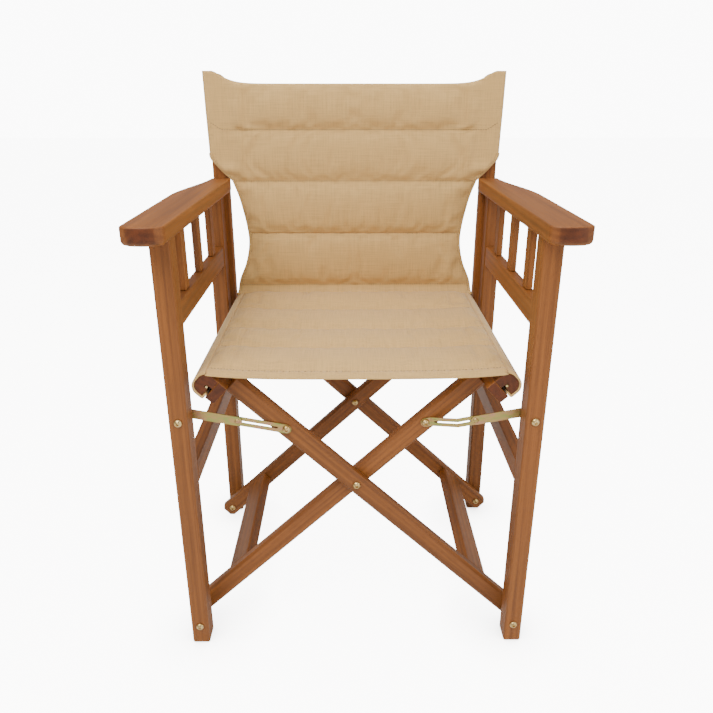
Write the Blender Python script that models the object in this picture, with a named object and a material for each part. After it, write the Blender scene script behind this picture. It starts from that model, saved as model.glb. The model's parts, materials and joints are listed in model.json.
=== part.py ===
"""Folding armchair with a quilted canvas sling.

Two upright side frames carry the arms. Two nested crossed frames join them: the outer one carries
the left seat rail and stands on the right legs, the inner one carries the right seat rail and
stands on the left legs. Slotted metal stays hold the cross open. Lengths are metres, +Z is up,
+Y is the back of the chair and +X is the right of a viewer who stands in front of it. "left" and
"right" in the names are that viewer's.
"""
import math

import bmesh
import bpy
import numpy as np
from mathutils import Matrix, Vector

GAP = 0.0003
FRONT = -0.2017             # world Y of the front legs' front faces

# Side frames
LEG_X = 0.2475
LEG_WIDTH = 0.0265
LEG_DEPTH = 0.036
LEG_SPAN = 0.436            # front face of the front leg to back face of the rear leg
ARM_UNDERSIDE = 0.639
ARM_THICKNESS = 0.0234
ARM_OUTER = 0.281
ARM_OUTER_REAR = 0.255
ARM_INNER_FRONT = 0.227
ARM_INNER_REAR = 0.219
ARM_FRONT = -0.050
ARM_BOW = 0.007
ARM_WAIST_START = 0.215
MID_RAIL_X = (0.236, 0.252)
MID_RAIL_Z = (0.514, 0.548)
LOWER_RAIL_X = (0.2345, 0.2535)
LOWER_RAIL_Z = (0.273, 0.308)
SLAT_X = (0.240, 0.249)
SLAT_WIDTH = 0.026
SLAT_PITCH = 0.112
POST_X = (0.224, 0.251)
POST_DEPTH = 0.020
POST_Z = (0.345, 0.8180)
POST_SCREW_Z = (0.372, 0.590)

# Crossed frames
BAR_ANGLE = math.radians(43.0)
PIVOT_Z = 0.032
HALF_BAR = LEG_X / math.cos(BAR_ANGLE)
CENTRE_Z = PIVOT_Z + LEG_X * math.tan(BAR_ANGLE)
BAR_WIDTH = 0.029
BAR_THICKNESS = 0.020
BAR_CHAMFER = 0.004
BAR_TOP = 0.245
BAR_TAIL = 0.017
BAR_TAIL_CUT = 0.006
STAY_SPACE = 0.005
OUTER_FRONT = LEG_DEPTH + STAY_SPACE
INNER_FRONT = OUTER_FRONT + BAR_THICKNESS + 0.0005
STRETCHER_FROM_PIVOT = (0.063, 0.105)
STRETCHER_N = (-0.006, 0.0125)

# Seat rails, in bar coordinates: s along the bar from the centre, n across it, upper side +
RAIL_ENDS = (0.012, 0.424)
RAIL_N = (-0.029, 0.001)
BOARD_S = (BAR_TOP + GAP, 0.2598)
NOSE_S = (0.2601, 0.2845)
NOSE_ROUND = 0.012
GROOVE_S = 0.2652
POCKET_S = 0.2715
POCKET_N = (-0.0174, -0.0122)
ROD_RADIUS = 0.0018
SLING_Y = (0.0115, 0.4240)

# Fasteners
SHANK = 0.0028
HOLE = 0.0032
SCREW_SHANK = 0.0024
SCREW_DEPTH = 0.019
HEAD_RADIUS = 0.0060
HEAD_HEIGHT = 0.0042
NUT_RADIUS = 0.0052
NUT_HEIGHT = 0.0045
WASHER_RADIUS = 0.0085

# Stays
STAY_LEG_Z = 0.3855
STAY_BAR_S = 0.139
STAY_WIDTH = 0.014
STAY_THICKNESS = 0.0015
STAY_OUTER_LENGTH = 0.077
STAY_OUTER_Y = LEG_DEPTH + 0.001
STAY_INNER_Y = STAY_OUTER_Y + STAY_THICKNESS + GAP
RIVET_RADIUS = 0.0010
SLOT_HALF_WIDTH = 0.0014
SLOT_START = 0.014

# Sling
SEAT_TOP = 0.4577
SEAT_UNDER = 0.4535
SEAT_HALF = 0.2068
BACK_SPLIT = 0.566
BACK_BEND_Y = 0.4243
BACK_BEND_RADIUS = 0.0143
BACK_TOP = 0.8312
BACK_TOP_MIDDLE = 0.8170
BACK_THICKNESS = 0.0033
BACK_FRONT = LEG_SPAN - 0.006
LOWER_BACK_THICKNESS = 0.004
SLEEVE_WALL = 0.003
SLEEVE_BOTTOM = 0.696

SIDES = {"left": -1.0, "right": 1.0}


def material(name, colour, roughness, metallic=0.0):
    """A Principled material with one colour."""
    made = bpy.data.materials.new(name)
    made.use_nodes = True
    shader = made.node_tree.nodes["Principled BSDF"]
    shader.inputs["Base Color"].default_value = (*colour, 1.0)
    shader.inputs["Roughness"].default_value = roughness
    shader.inputs["Metallic"].default_value = metallic
    return made


def pivot(name, x, z, parent=None, y=0.0):
    """An empty on a joint's axis, which runs along Y through (x, z); y is counted from FRONT."""
    empty = bpy.data.objects.new(name, None)
    bpy.context.scene.collection.objects.link(empty)
    empty.empty_display_size = 0.03
    place = Matrix.Translation(Vector((x, FRONT + y, z)))
    if parent:
        empty.parent = parent
        empty.matrix_parent_inverse = Matrix.Identity(4)
        place = parent.matrix_world.inverted() @ place
    empty.matrix_basis = place
    bpy.context.view_layer.update()
    return empty


def add(name, bm, finish, parent):
    """Closes a bmesh into a named object. Its points are in chair coordinates, Y from FRONT."""
    bmesh.ops.recalc_face_normals(bm, faces=bm.faces)
    mesh = bpy.data.meshes.new(name)
    bm.to_mesh(mesh)
    bm.free()
    mesh.transform(Matrix.Translation(Vector((0.0, FRONT, 0.0))))
    origin = parent.matrix_world.translation
    mesh.transform(Matrix.Translation(-origin))
    mesh.materials.append(finish)
    thing = bpy.data.objects.new(name, mesh)
    bpy.context.scene.collection.objects.link(thing)
    thing.parent = parent
    bpy.context.view_layer.update()
    return thing


def prism(outline, low, high, along="Y"):
    """A closed solid: an outline in XZ carried along Y, or one in XY carried along Z."""
    bm = bmesh.new()
    rings = []
    for level in (low, high):
        if along == "Y":
            rings.append([bm.verts.new((a, level, b)) for a, b in outline])
        else:
            rings.append([bm.verts.new((a, b, level)) for a, b in outline])
    bm.faces.new(rings[0])
    bm.faces.new(rings[1])
    count = len(outline)
    for i in range(count):
        j = (i + 1) % count
        bm.faces.new((rings[0][i], rings[0][j], rings[1][j], rings[1][i]))
    return bm


def ease(bm, width, segments=1, choose=None):
    """Chamfers or rounds the chosen edges, or all of them."""
    edges = [e for e in bm.edges if choose is None or choose(e)]
    bmesh.ops.bevel(bm, geom=edges, offset=width, segments=segments, profile=0.5,
                    affect="EDGES", clamp_overlap=True)
    return bm


def in_plane(edge, levels):
    """True when both ends of an edge lie at one of the given Y levels."""
    return any(all(abs(v.co.y - y) < 1e-6 for v in edge.verts) for y in levels)


def block(x_range, y_range, z_range, edge=0.0015, segments=1):
    """A rectangular board with eased edges."""
    x0, x1 = sorted(x_range)
    outline = [(x0, z_range[0]), (x1, z_range[0]), (x1, z_range[1]), (x0, z_range[1])]
    return ease(prism(outline, *y_range), edge, segments)


def on_bar(side, s, n):
    """The chair point (x, z) at s along and n across the bar that rises to the given side."""
    x = s * math.cos(BAR_ANGLE) - n * math.sin(BAR_ANGLE)
    z = CENTRE_Z + s * math.sin(BAR_ANGLE) + n * math.cos(BAR_ANGLE)
    return side * x, z


def circle(x, z, radius, count=12):
    """Points of a circle in XZ."""
    turn = [2.0 * math.pi * (i + 0.5) / count for i in range(count)]
    return [(x + radius * math.cos(t), z + radius * math.sin(t)) for t in turn]


def arc(cx, cy, radius, start, stop, count):
    """Points of an arc, angles in degrees."""
    steps = np.radians(np.linspace(start, stop, count))
    return [(cx + radius * math.cos(t), cy + radius * math.sin(t)) for t in steps]


def cut(thing, *tools):
    """Takes the tools' solids, given in chair coordinates, out of the thing."""
    for bm in tools:
        cutter = add("cutter", bm, thing.data.materials[0], thing.parent)
        boolean = thing.modifiers.new("cut", "BOOLEAN")
        boolean.operation = "DIFFERENCE"
        boolean.solver = "EXACT"
        boolean.object = cutter
        bpy.context.view_layer.update()
        evaluated = thing.evaluated_get(bpy.context.evaluated_depsgraph_get())
        result = bpy.data.meshes.new_from_object(evaluated)
        thing.modifiers.clear()
        thing.data = result
        bpy.data.objects.remove(cutter)
    return thing


def drill(thing, x, z, radius=HOLE):
    """Bores a hole along Y right through."""
    return cut(thing, prism(circle(x, z, radius), -0.1, 0.6))


def revolve(x, z, profile, count=14):
    """A turned solid about the Y axis through (x, z); the profile is (radius, y) from pole to pole."""
    bm = bmesh.new()
    first = bm.verts.new((x, profile[0][1], z))
    last = bm.verts.new((x, profile[-1][1], z))
    rings = []
    for radius, y in profile[1:-1]:
        rings.append([bm.verts.new((px, y, pz)) for px, pz in circle(x, z, radius, count)])
    for i in range(count):
        j = (i + 1) % count
        bm.faces.new((first, rings[0][i], rings[0][j]))
        bm.faces.new((last, rings[-1][j], rings[-1][i]))
        for a, b in zip(rings[:-1], rings[1:]):
            bm.faces.new((a[i], b[i], b[j], a[j]))
    return bm


def bolt(x, z, head_seat, nut_seat, shank=SHANK):
    """A dome-headed bolt with its cap nut: the head sits at head_seat, the nut starts at nut_seat."""
    profile = [(0.0, head_seat - HEAD_HEIGHT)]
    for angle in (32.0, 64.0):
        turn = math.radians(angle)
        height = HEAD_HEIGHT * math.cos(turn)
        profile.append((HEAD_RADIUS * math.sin(turn), head_seat - height))
    profile += [(HEAD_RADIUS, head_seat), (shank, head_seat), (shank, nut_seat)]
    profile += [(NUT_RADIUS, nut_seat), (NUT_RADIUS, nut_seat + NUT_HEIGHT * 0.65)]
    profile += [(NUT_RADIUS * 0.6, nut_seat + NUT_HEIGHT), (0.0, nut_seat + NUT_HEIGHT)]
    return revolve(x, z, profile)


def arm_outline(side):
    """Plan of an armrest: bowed front, straight inner edge, outer edge that draws in at the rear.

    The outer edge leaves ARM_OUTER at ARM_WAIST_START and reaches ARM_OUTER_REAR at the rear end
    along half a cosine wave.
    """
    rear = LEG_SPAN + 0.0005
    corner = 0.009
    middle = 0.5 * (ARM_OUTER + ARM_INNER_FRONT)
    half = ARM_OUTER - middle
    points = []
    for x in np.linspace(ARM_INNER_FRONT + corner, ARM_OUTER - corner * 0.6, 6):
        points.append((x, ARM_FRONT - ARM_BOW * (1.0 - ((x - middle) / half) ** 2)))
    points.append((ARM_OUTER - 0.0012, ARM_FRONT + corner * 0.25))
    points.append((ARM_OUTER, ARM_FRONT + corner * 0.9))
    for y in np.linspace(ARM_WAIST_START, rear - 0.003, 10):
        share = (y - ARM_WAIST_START) / (rear - ARM_WAIST_START)
        drawn = (ARM_OUTER - ARM_OUTER_REAR) * 0.5 * (1.0 - math.cos(math.pi * share))
        points.append((ARM_OUTER - drawn, y))
    points.append((ARM_OUTER_REAR - 0.003, rear))
    points += arc(ARM_INNER_REAR + corner, rear - corner, corner, 90.0, 180.0, 4)
    points += arc(ARM_INNER_FRONT + corner, ARM_FRONT + corner * 0.7, corner, 180.0, 235.0, 4)
    return [(side * x, y) for x, y in points]


def armrest(side):
    """The arm board: top edges lightly eased, lower edges well rounded."""
    low = ARM_UNDERSIDE
    high = ARM_UNDERSIDE + ARM_THICKNESS
    bm = prism(arm_outline(side), low, high, along="Z")
    ease(bm, 0.0065, 2, lambda e: all(abs(v.co.z - low) < 1e-6 for v in e.verts))
    return ease(bm, 0.0022, 1, lambda e: all(abs(v.co.z - high) < 1e-6 for v in e.verts))


def side_frame(name, side, wood, metal, cloth, parent):
    """One upright side: legs, rails, slats, arm, back post with its sleeve, and its bolts."""
    leg_x = side * LEG_X
    leg_range = (leg_x - LEG_WIDTH / 2, leg_x + LEG_WIDTH / 2)
    rear_leg_y = LEG_SPAN - LEG_DEPTH
    between = (LEG_DEPTH + GAP, rear_leg_y - GAP)
    leg_z = (0.0, ARM_UNDERSIDE - GAP)
    front_block = block(leg_range, (0.0, LEG_DEPTH), leg_z, 0.002)
    front_leg = add(f"front_leg_{name}", front_block, wood, parent)
    drill(front_leg, leg_x, PIVOT_Z)
    drill(front_leg, leg_x, STAY_LEG_Z)
    rear_block = block(leg_range, (rear_leg_y, LEG_SPAN), leg_z, 0.002)
    rear_leg = add(f"rear_leg_{name}", rear_block, wood, parent)
    drill(rear_leg, leg_x, PIVOT_Z)
    mid_x = [side * x for x in MID_RAIL_X]
    add(f"mid_rail_{name}", block(mid_x, between, MID_RAIL_Z), wood, parent)
    low_x = [side * x for x in LOWER_RAIL_X]
    add(f"lower_rail_{name}", block(low_x, between, LOWER_RAIL_Z), wood, parent)
    slat_x = [side * x for x in SLAT_X]
    slat_z = (MID_RAIL_Z[1] + GAP, ARM_UNDERSIDE - GAP)
    for i in range(3):
        centre = LEG_SPAN / 2 + (i - 1) * SLAT_PITCH
        slat_y = (centre - SLAT_WIDTH / 2, centre + SLAT_WIDTH / 2)
        add(f"arm_slat_{name}_{i + 1}", block(slat_x, slat_y, slat_z, 0.001), wood, parent)
    add(f"armrest_{name}", armrest(side), wood, parent)
    back_post(name, side, wood, metal, cloth, parent)
    stay_bolt = bolt(leg_x, STAY_LEG_Z, -GAP, STAY_OUTER_Y + STAY_THICKNESS + GAP)
    add(f"stay_bolt_{name}", stay_bolt, metal, parent)


def back_post(name, side, wood, metal, cloth, parent):
    """The post screwed behind the rear leg and the arm, and the canvas sleeve over its top."""
    front = LEG_SPAN + 0.001
    post_x = sorted(side * x for x in POST_X)
    post_y = (front, front + POST_DEPTH)
    post = add(f"back_post_{name}", block(post_x, post_y, POST_Z, 0.0025), wood, parent)
    screw_x = side * 0.5 * (POST_X[0] + POST_X[1] + 0.010)
    rear_leg = bpy.data.objects[f"rear_leg_{name}"]
    depth = front - SCREW_DEPTH
    for number, z in enumerate(POST_SCREW_Z, start=1):
        drill(post, screw_x, z)
        cut(rear_leg, prism(circle(screw_x, z, HOLE), depth - 0.001, front + 0.01))
        head = post_y[1] + GAP
        profile = [(0.0, head + 0.0022), (0.0030, head + 0.0020), (0.0042, head)]
        profile += [(SCREW_SHANK, head), (SCREW_SHANK, depth + 0.004), (0.0, depth)]
        add(f"post_screw_{name}_{number}", revolve(screw_x, z, profile, 12), metal, parent)
    sleeve_x = (post_x[0] - SLEEVE_WALL - GAP, post_x[1] + SLEEVE_WALL + GAP)
    sleeve_y = (post_y[0] - SLEEVE_WALL - GAP, post_y[1] + SLEEVE_WALL + GAP)
    shell = block(sleeve_x, sleeve_y, (SLEEVE_BOTTOM, BACK_TOP), 0.002)
    sleeve = add(f"post_sleeve_{name}", shell, cloth, parent)
    hollow_x = (post_x[0] - GAP, post_x[1] + GAP)
    hollow_y = (post_y[0] - GAP, post_y[1] + GAP)
    hollow_z = (SLEEVE_BOTTOM - 0.05, POST_Z[1] + GAP)
    outline = [(x, z) for x in hollow_x for z in hollow_z]
    cut(sleeve, prism([outline[0], outline[2], outline[3], outline[1]], *hollow_y))


def bar_outline(side):
    """Outline of a cross bar in XZ: square upper end, lower end with both corners cut."""
    half = BAR_WIDTH / 2
    tail = -(HALF_BAR + BAR_TAIL)
    cut_in = BAR_TAIL_CUT
    corners = [(BAR_TOP, -half), (BAR_TOP, half), (tail + cut_in, half), (tail, half - cut_in)]
    corners += [(tail, -half + cut_in), (tail + cut_in, -half)]
    return [on_bar(side, s, n) for s, n in corners]


def bar(name, side, front, wood, parent):
    """A cross bar with chamfered edges and its three holes."""
    bm = prism(bar_outline(side), front, front + BAR_THICKNESS)
    ease(bm, BAR_CHAMFER, 1, lambda e: in_plane(e, (front, front + BAR_THICKNESS)))
    made = add(name, bm, wood, parent)
    drill(made, 0.0, CENTRE_Z)
    drill(made, -side * LEG_X, PIVOT_Z)
    return made


def stretcher(side, y_range):
    """The board that joins the lower ends of a frame's two bars."""
    s_far = -(HALF_BAR - STRETCHER_FROM_PIVOT[0])
    s_near = -(HALF_BAR - STRETCHER_FROM_PIVOT[1])
    corners = [(s_far, STRETCHER_N[0]), (s_near, STRETCHER_N[0]), (s_near, STRETCHER_N[1])]
    corners.append((s_far, STRETCHER_N[1]))
    return ease(prism([on_bar(side, s, n) for s, n in corners], *y_range), 0.0025, 2)


def rail_board(side):
    """The inner board of a seat rail, glued across the bar ends."""
    s0, s1 = BOARD_S
    n0, n1 = RAIL_N
    corners = [(s0, n1), (s1, n1), (s1, n0)] + arc(s0 + 0.003, n0 + 0.003, 0.003, 270.0, 180.0, 4)
    return ease_ends(prism([on_bar(side, s, n) for s, n in corners], *RAIL_ENDS))


def rail_nose(side):
    """The rounded outer piece of a seat rail, hollowed for the sling's hem.

    Its section is a C: the groove comes up beside the board and turns outwards into a pocket.
    """
    s0, s1 = NOSE_S
    n0, n1 = RAIL_N
    r = NOSE_ROUND
    section = [(s0, n1)]
    section += arc(s1 - r, n1 - r, r, 90.0, 0.0, 8)
    section += arc(s1 - r, n0 + r, r, 0.0, -90.0, 8)
    section += [(GROOVE_S, n0), (GROOVE_S, POCKET_N[0]), (POCKET_S, POCKET_N[0])]
    section += [(POCKET_S, POCKET_N[1]), (s0, POCKET_N[1])]
    return ease_ends(prism([on_bar(side, s, n) for s, n in section], *RAIL_ENDS))


def ease_ends(bm):
    """Breaks the sharp edges round both ends of a rail."""
    return ease(bm, 0.0006, 1, lambda e: in_plane(e, RAIL_ENDS))


def crossed_frame(name, side, front, wood, metal, parent):
    """One of the two crossed frames: two bars, the stretcher, the seat rail and its hem rod."""
    rear = LEG_SPAN - front - BAR_THICKNESS
    front_bar = bar(f"{name}_bar_front", side, front, wood, parent)
    drill(front_bar, *on_bar(side, STAY_BAR_S, 0.0))
    bar(f"{name}_bar_rear", side, rear, wood, parent)
    add(f"{name}_stretcher", stretcher(side, (front + BAR_THICKNESS + GAP, rear - GAP)), wood, parent)
    add(f"{name}_seat_rail_board", rail_board(side), wood, parent)
    add(f"{name}_seat_rail_nose", rail_nose(side), wood, parent)
    rod_s = 0.5 * (GROOVE_S + POCKET_S)
    rod_n = 0.5 * (POCKET_N[0] + POCKET_N[1])
    rod = prism(circle(*on_bar(side, rod_s, rod_n), ROD_RADIUS, 10), *SLING_Y)
    add(f"{name}_hem_rod", rod, metal, parent)


def leg_pivots(name, side, bar_front, metal, parent):
    """The two bolts that hinge a crossed frame to a side's legs, with their spacers."""
    x = side * LEG_X
    bar_back = bar_front + BAR_THICKNESS
    rear_front = LEG_SPAN - bar_back
    rear_leg_y = LEG_SPAN - LEG_DEPTH
    front_bolt = bolt(x, PIVOT_Z, -GAP, bar_back + GAP)
    rear_bolt = bolt(x, PIVOT_Z, rear_front - GAP, LEG_SPAN + GAP)
    add(f"pivot_bolt_front_{name}", front_bolt, metal, parent)
    add(f"pivot_bolt_rear_{name}", rear_bolt, metal, parent)
    spans = {"front": (LEG_DEPTH + GAP, bar_front - GAP)}
    spans["rear"] = (rear_front + BAR_THICKNESS + GAP, rear_leg_y - GAP)
    for place, span in spans.items():
        tube = prism(circle(x, PIVOT_Z, WASHER_RADIUS, 16), *span)
        drill(add(f"pivot_spacer_{place}_{name}", tube, metal, parent), x, PIVOT_Z)


def centre_bolts(metal, parent):
    """The two bolts on which the crossed frames turn against each other."""
    inner_back = INNER_FRONT + BAR_THICKNESS
    inner_rear = LEG_SPAN - inner_back
    outer_rear_back = LEG_SPAN - OUTER_FRONT
    add("centre_bolt_front", bolt(0.0, CENTRE_Z, OUTER_FRONT - GAP, inner_back + GAP), metal, parent)
    add("centre_bolt_rear", bolt(0.0, CENTRE_Z, inner_rear - GAP, outer_rear_back + GAP), metal, parent)


def strip_outline(start, stop, radius, count=7):
    """A strip with round ends about two points, as an outline in XZ."""
    ax, az = start
    bx, bz = stop
    lean = math.degrees(math.atan2(bz - az, bx - ax))
    points = arc(bx, bz, radius, lean - 90.0, lean + 90.0, count)
    return points + arc(ax, az, radius, lean + 90.0, lean + 270.0, count)


def bent_strip(start, stop, y_start, y_stop, bend_from, bend_to):
    """A strip like strip_outline that steps from depth y_start to y_stop between two distances."""
    ax, az = start
    along = Vector((stop[0] - ax, stop[1] - az))
    length = along.length
    along.normalize()
    across = Vector((-along.y, along.x))
    half = STAY_WIDTH / 2
    stations = [-half + half * (1.0 - math.cos(t)) for t in np.linspace(0.0, math.pi / 2, 6)]
    stations += list(np.linspace(bend_from, bend_to, 5))
    stations += [length + half * math.sin(t) for t in np.linspace(0.0, math.pi / 2, 6)]
    bm = bmesh.new()
    rows = []
    for d in stations:
        beyond = max(-d, d - length, 0.0)
        reach = math.sqrt(max(half * half - beyond * beyond, 0.0002 ** 2))
        share = min(max((d - bend_from) / (bend_to - bend_from), 0.0), 1.0)
        y = y_start + (y_stop - y_start) * share
        row = []
        for sign, depth in ((1.0, 0.0), (-1.0, 0.0), (-1.0, STAY_THICKNESS), (1.0, STAY_THICKNESS)):
            point = Vector((ax, az)) + along * d + across * (sign * reach)
            row.append(bm.verts.new((point.x, y + depth, point.y)))
        rows.append(row)
    for a, b in zip(rows[:-1], rows[1:]):
        for i in range(4):
            j = (i + 1) % 4
            bm.faces.new((a[i], a[j], b[j], b[i]))
    bm.faces.new(rows[0])
    bm.faces.new(reversed(rows[-1]))
    return bm


def stay(name, side, bar_front, metal, leg_pivot, bar_pivot, bar_parent):
    """A slotted stay: outer strip on the leg with a rivet, inner strip with a slot on the bar."""
    leg_point = (side * LEG_X, STAY_LEG_Z)
    bar_point = on_bar(side, STAY_BAR_S, 0.0)
    reach = Vector((bar_point[0] - leg_point[0], bar_point[1] - leg_point[1]))
    inner_length = reach.length - STAY_OUTER_LENGTH
    reach.normalize()
    rivet_x = leg_point[0] + reach.x * STAY_OUTER_LENGTH
    rivet_z = leg_point[1] + reach.y * STAY_OUTER_LENGTH
    outline = strip_outline(leg_point, (rivet_x, rivet_z), STAY_WIDTH / 2)
    plate = prism(outline, STAY_OUTER_Y, STAY_OUTER_Y + STAY_THICKNESS)
    outer = add(f"stay_outer_{name}", plate, metal, leg_pivot)
    drill(outer, *leg_point)
    drill(outer, rivet_x, rivet_z, RIVET_RADIUS + GAP)
    rivet_back = STAY_INNER_Y + STAY_THICKNESS + GAP
    profile = [(0.0, STAY_OUTER_Y - 0.0017), (0.0026, STAY_OUTER_Y - 0.0013), (0.0038, STAY_OUTER_Y - GAP)]
    profile += [(RIVET_RADIUS, STAY_OUTER_Y - GAP), (RIVET_RADIUS, rivet_back), (0.0036, rivet_back)]
    profile += [(0.0030, rivet_back + 0.0012), (0.0, rivet_back + 0.0014)]
    add(f"stay_rivet_{name}", revolve(rivet_x, rivet_z, profile, 12), metal, leg_pivot)
    seat_y = bar_front - 0.0006 - STAY_THICKNESS
    if side > 0:
        strip = bent_strip(bar_point, (rivet_x, rivet_z), seat_y, STAY_INNER_Y, 0.008, 0.045)
    else:
        seat_y = STAY_INNER_Y
        outline = strip_outline(bar_point, (rivet_x, rivet_z), STAY_WIDTH / 2)
        strip = prism(outline, STAY_INNER_Y, STAY_INNER_Y + STAY_THICKNESS)
    inner = add(f"stay_inner_{name}", strip, metal, bar_pivot)
    drill(inner, *bar_point)
    slot_start = (bar_point[0] - reach.x * SLOT_START, bar_point[1] - reach.y * SLOT_START)
    slot_end = (bar_point[0] - reach.x * inner_length, bar_point[1] - reach.y * inner_length)
    cut(inner, prism(strip_outline(slot_start, slot_end, SLOT_HALF_WIDTH, 5), 0.0, 0.2))
    pin = bolt(*bar_point, seat_y - GAP, bar_front + BAR_THICKNESS + GAP)
    add(f"stay_pin_{name}", pin, metal, bar_parent)


def half_widths():
    """Half width of the sling's back against height, read between its few stations."""
    stations = [(0.458, 0.2210), (0.476, 0.2130), (0.512, 0.2000), (0.553, 0.1915), (0.580, 0.1935)]
    stations += [(0.633, 0.2050), (0.664, 0.2120), (0.680, 0.2300), (0.696, 0.2530), (0.831, 0.2543)]
    heights, widths = np.array(stations).T
    return heights, widths


def lower_back():
    """The sling behind the seat: it bends up in a quarter round, then stands up to the split."""
    heights, widths = half_widths()
    centre_z = 0.5 * (SEAT_UNDER + SEAT_TOP) + BACK_BEND_RADIUS
    bend = [(t, 0.0) for t in np.radians(np.linspace(-90.0, 0.0, 6))]
    stations = bend + [(0.0, rise) for rise in np.linspace(0.0, BACK_SPLIT - GAP - centre_z, 8)[1:]]
    bm = bmesh.new()
    rows = []
    for turn, rise in stations:
        row = []
        for sign, layer in ((-1.0, -1.0), (1.0, -1.0), (1.0, 1.0), (-1.0, 1.0)):
            radius = BACK_BEND_RADIUS + 0.5 * layer * LOWER_BACK_THICKNESS
            y = BACK_BEND_Y + radius * math.cos(turn)
            z = centre_z + radius * math.sin(turn) + rise
            middle_z = centre_z + BACK_BEND_RADIUS * math.sin(turn) + rise
            row.append(bm.verts.new((sign * float(np.interp(middle_z, heights, widths)), y, z)))
        rows.append(row)
    for a, b in zip(rows[:-1], rows[1:]):
        for i in range(4):
            j = (i + 1) % 4
            bm.faces.new((a[i], a[j], b[j], b[i]))
    bm.faces.new(rows[0])
    bm.faces.new(reversed(rows[-1]))
    return bm


def back_outline(low, high, count):
    """Outline of the sling's upper back between two heights; its top edge dips in the middle."""
    heights, widths = half_widths()
    levels = np.linspace(low, high, count)
    reach = np.interp(levels, heights, widths)
    right = list(zip(reach, levels))
    left = [(-x, z) for x, z in reversed(right)]
    top = []
    for x in np.linspace(0.236, -0.236, 17):
        inward = (0.238 - abs(x)) / 0.024
        top.append((x, BACK_TOP_MIDDLE + (high - BACK_TOP_MIDDLE) * math.exp(-inward ** 1.3)))
    return right + top + left


def sling(cloth, seat_parent, back_parent, lower_parent):
    """Plain closed solids for the canvas: seat, upper back and lower back."""
    seat = block((-SEAT_HALF, SEAT_HALF), SLING_Y, (SEAT_UNDER, SEAT_TOP), 0.0012)
    add("seat_sling", seat, cloth, seat_parent)
    upper_y = (BACK_FRONT, BACK_FRONT + BACK_THICKNESS)
    upper = prism(back_outline(BACK_SPLIT, BACK_TOP, 22), *upper_y)
    add("back_sling_upper", upper, cloth, back_parent)
    add("back_sling_lower", lower_back(), cloth, lower_parent)


def clear_scene():
    """Removes every object of the scene."""
    for thing in list(bpy.data.objects):
        bpy.data.objects.remove(thing)


def build():
    """Builds the chair, opened for use."""
    clear_scene()
    wood = material("oiled_wood", (0.33, 0.15, 0.058), 0.5)
    brass = material("brass_plated_steel", (0.72, 0.60, 0.34), 0.3, 1.0)
    zinc = material("yellow_zinc_steel", (0.70, 0.62, 0.36), 0.35, 1.0)
    cloth = material("khaki_canvas", (0.58, 0.43, 0.27), 0.9)
    side_left = pivot("side_left", -LEG_X, PIVOT_Z)
    inner = pivot("inner_frame", -LEG_X, PIVOT_Z, side_left)
    outer = pivot("outer_frame", 0.0, CENTRE_Z, inner)
    side_right = pivot("side_right", LEG_X, PIVOT_Z, outer)
    side_frame("left", SIDES["left"], wood, brass, cloth, side_left)
    side_frame("right", SIDES["right"], wood, brass, cloth, side_right)
    crossed_frame("inner", SIDES["right"], INNER_FRONT, wood, brass, inner)
    crossed_frame("outer", SIDES["left"], OUTER_FRONT, wood, brass, outer)
    leg_pivots("left", SIDES["left"], INNER_FRONT, brass, side_left)
    leg_pivots("right", SIDES["right"], OUTER_FRONT, brass, side_right)
    centre_bolts(brass, outer)
    left_leg = pivot("left_stay_on_leg", -LEG_X, STAY_LEG_Z, side_left)
    left_bar = pivot("left_stay_on_bar", *on_bar(-1.0, STAY_BAR_S, 0.0), outer)
    right_leg = pivot("right_stay_on_leg", LEG_X, STAY_LEG_Z, side_right)
    right_bar = pivot("right_stay_on_bar", *on_bar(1.0, STAY_BAR_S, 0.0), inner)
    stay("left", SIDES["left"], OUTER_FRONT, zinc, left_leg, left_bar, outer)
    stay("right", SIDES["right"], INNER_FRONT, zinc, right_leg, right_bar, inner)
    round_middle = 0.5 * (RAIL_N[0] + RAIL_N[1])
    seat_cloth = pivot("seat_cloth", *on_bar(1.0, NOSE_S[1] - NOSE_ROUND, round_middle), inner)
    hinge_z = 0.5 * (SEAT_UNDER + SEAT_TOP)
    lower_back_cloth = pivot("lower_back_cloth", 0.0, hinge_z, seat_cloth, BACK_BEND_Y)
    back_cloth = pivot("back_cloth", -0.5 * (POST_X[0] + POST_X[1]), 0.762, side_left)
    sling(cloth, seat_cloth, back_cloth, lower_back_cloth)


build()
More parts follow.
